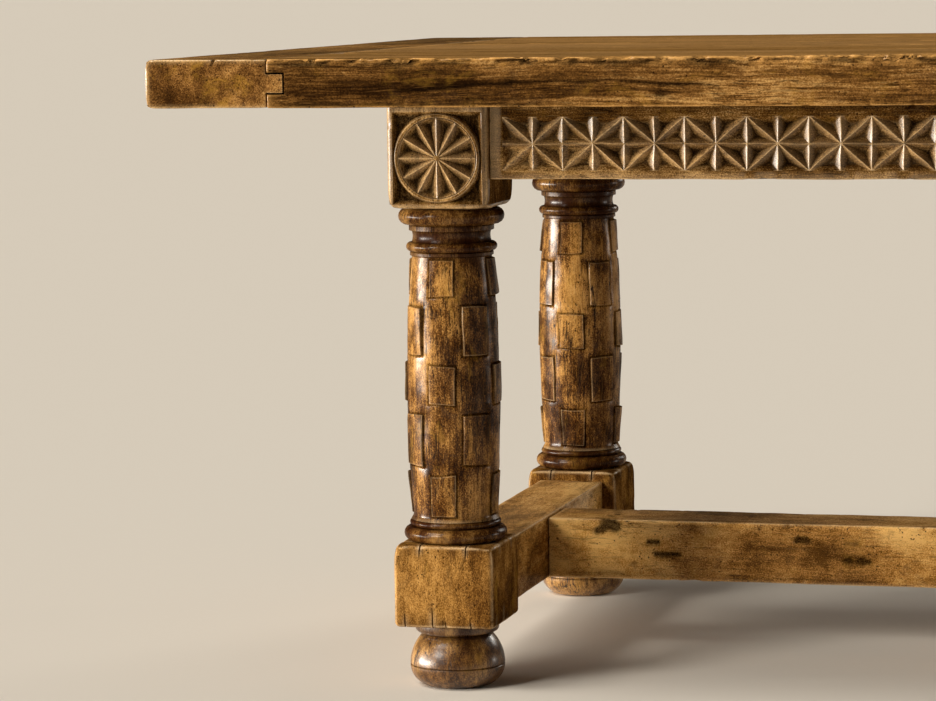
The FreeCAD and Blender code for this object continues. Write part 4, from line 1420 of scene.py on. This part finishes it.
def make_stretcher(name, node, axis, inset, seed):
    """Heavy bar with rubbed edges and a few gouges, drawn between its shoulders."""
    low, high = box_arrays(node)
    low[axis] += inset
    high[axis] -= inset
    extras = [[], [], []]
    for place, _, half_length, _ in stretcher_scars:
        around = place + half_length * np.linspace(-1.6, 1.6, 19)
        extras[axis] += [mark for mark in around if low[axis] + 0.01 < mark < high[axis] - 0.01]
    lines = block_lines(low, high, stretcher_round, stretcher_steps, extras)
    shell = block_shell(lines, stretcher_round)

    def scars(points):
        total = np.zeros(len(points))
        ragged = 0.55 * fractal(points, gouge_blotch, seed + 61)
        for place, below, half_length, half_height in stretcher_scars:
            along = (points[:, axis] - place) / half_length
            across = (high[2] - below - points[:, 2]) / half_height
            inside = 1.15 - np.hypot(along, across) + ragged
            total = np.maximum(total, smooth_step(inside / 0.35))
        return 1.2 * total

    def gouges(points):
        return gouge_depth * scars(points)

    add_piece(name, node, "frame_wood", bar_wood, shell, "xyz"[axis], seed, *stretcher_weather, gouges,
              scars=scars, fade=0.15, burnish=0.45)


def make_stretchers():
    """Two side stretchers between the legs and one bar between them."""
    _, base_high = box_arrays("base_block_front_left")
    for side in ("left", "right"):
        low, _ = box_arrays("side_stretcher_" + side)
        inset = base_high[1] - low[1]
        make_stretcher("stretcher_" + side, "side_stretcher_" + side, 1, inset, 401 + len(side))
    _, side_high = box_arrays("side_stretcher_left")
    low, _ = box_arrays("centre_stretcher")
    make_stretcher("stretcher_centre", "centre_stretcher", 0, side_high[0] - low[0], 411)


for index in range(1, 6):
    make_plank(index, 100 + index)
for board_side in (-1, 1):
    make_end_board(board_side, 121 + board_side)
for number, corner in enumerate(corner_turns):
    make_cap_block(corner, 201 + number)
    make_column(corner, 211 + number)
    make_base_block(corner, 221 + number)
    make_foot(corner, 231 + number)
make_aprons()
make_stretchers()

kept_materials = {
    "plank_splines": inner_wood_x,
    "end_board_pegs": inner_wood_y,
    "cross_rail_left": inner_wood_y,
    "cross_rail_right": inner_wood_y,
    "top_buttons": inner_wood_y,
    "button_screws": screw_steel,
}
for node_name, material in kept_materials.items():
    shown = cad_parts[node_name]
    if not shown.material_slots:
        shown.data.materials.append(material)
    for material_slot in shown.material_slots:
        material_slot.material = material


# Floor, light and camera

def make_floor():
    """Large pale plain floor."""
    tree = Nodes("studio_floor")
    material = tree.finish({"Base Color": tone(222, 215, 204), "Roughness": 0.75, "Specular IOR Level": 0.0})
    mesh = bpy.data.meshes.new("floor")
    reach = 1500.0
    corners = [(-reach, -reach, 0), (reach, -reach, 0), (reach, reach, 0), (-reach, reach, 0)]
    mesh.from_pydata(corners, [], [(0, 1, 2, 3)])
    mesh.materials.append(material)
    floor = bpy.data.objects.new("floor", mesh)
    bpy.context.scene.collection.objects.link(floor)


def add_sun(name, direction, spread, strength):
    """Even soft warm light along a direction, with its spread in degrees."""
    lamp = bpy.data.lights.new(name, "SUN")
    lamp.energy = strength
    lamp.angle = math.radians(spread)
    lamp.color = (1.0, 0.95, 0.87)
    light = bpy.data.objects.new(name, lamp)
    light.rotation_euler = Vector(direction).to_track_quat("-Z", "Y").to_euler()
    bpy.context.scene.collection.objects.link(light)


def make_light():
    """A low row of lights from the left, soft lights round the table, a high light and a pale sky."""
    for degrees, strength in ((4, 1.5), (13, 1.6), (22, 1.3), (31, 0.8), (40, 0.5)):
        turn = math.radians(degrees)
        add_sun("low_%d" % degrees, (math.cos(turn), math.sin(turn), -0.026), 3.0, strength)
    add_sun("front", (0.55, 0.72, -0.42), 18.0, 2.0)
    add_sun("high", (0.50, 0.40, -0.90), 24.0, 1.75)
    add_sun("back", (-0.45, -0.85, -0.30), 20.0, 0.8)
    add_sun("rim", (-0.90, -0.42, -0.03), 11.0, 0.45)
    world = bpy.data.worlds.new("studio")
    world.use_nodes = True
    sky = world.node_tree.nodes["Background"]
    sky.inputs["Color"].default_value = (1.0, 0.95, 0.88, 1.0)
    sky.inputs["Strength"].default_value = 0.07
    bpy.context.scene.world = world


def make_camera():
    """Camera at the photograph's viewpoint."""
    lens = bpy.data.cameras.new("camera")
    lens.sensor_width = 36.0
    lens.lens = camera_lens
    lens.clip_end = 4000.0
    camera = bpy.data.objects.new("camera", lens)
    turn = Matrix.Rotation(camera_yaw, 4, "Z") @ Matrix.Rotation(math.pi / 2 - camera_pitch, 4, "X")
    camera.matrix_world = Matrix.Translation(camera_place) @ turn @ Matrix.Rotation(camera_roll, 4, "Z")
    bpy.context.scene.collection.objects.link(camera)
    bpy.context.scene.camera = camera


make_floor()
make_light()
make_camera()
bpy.context.scene.view_settings.view_transform = "Standard"
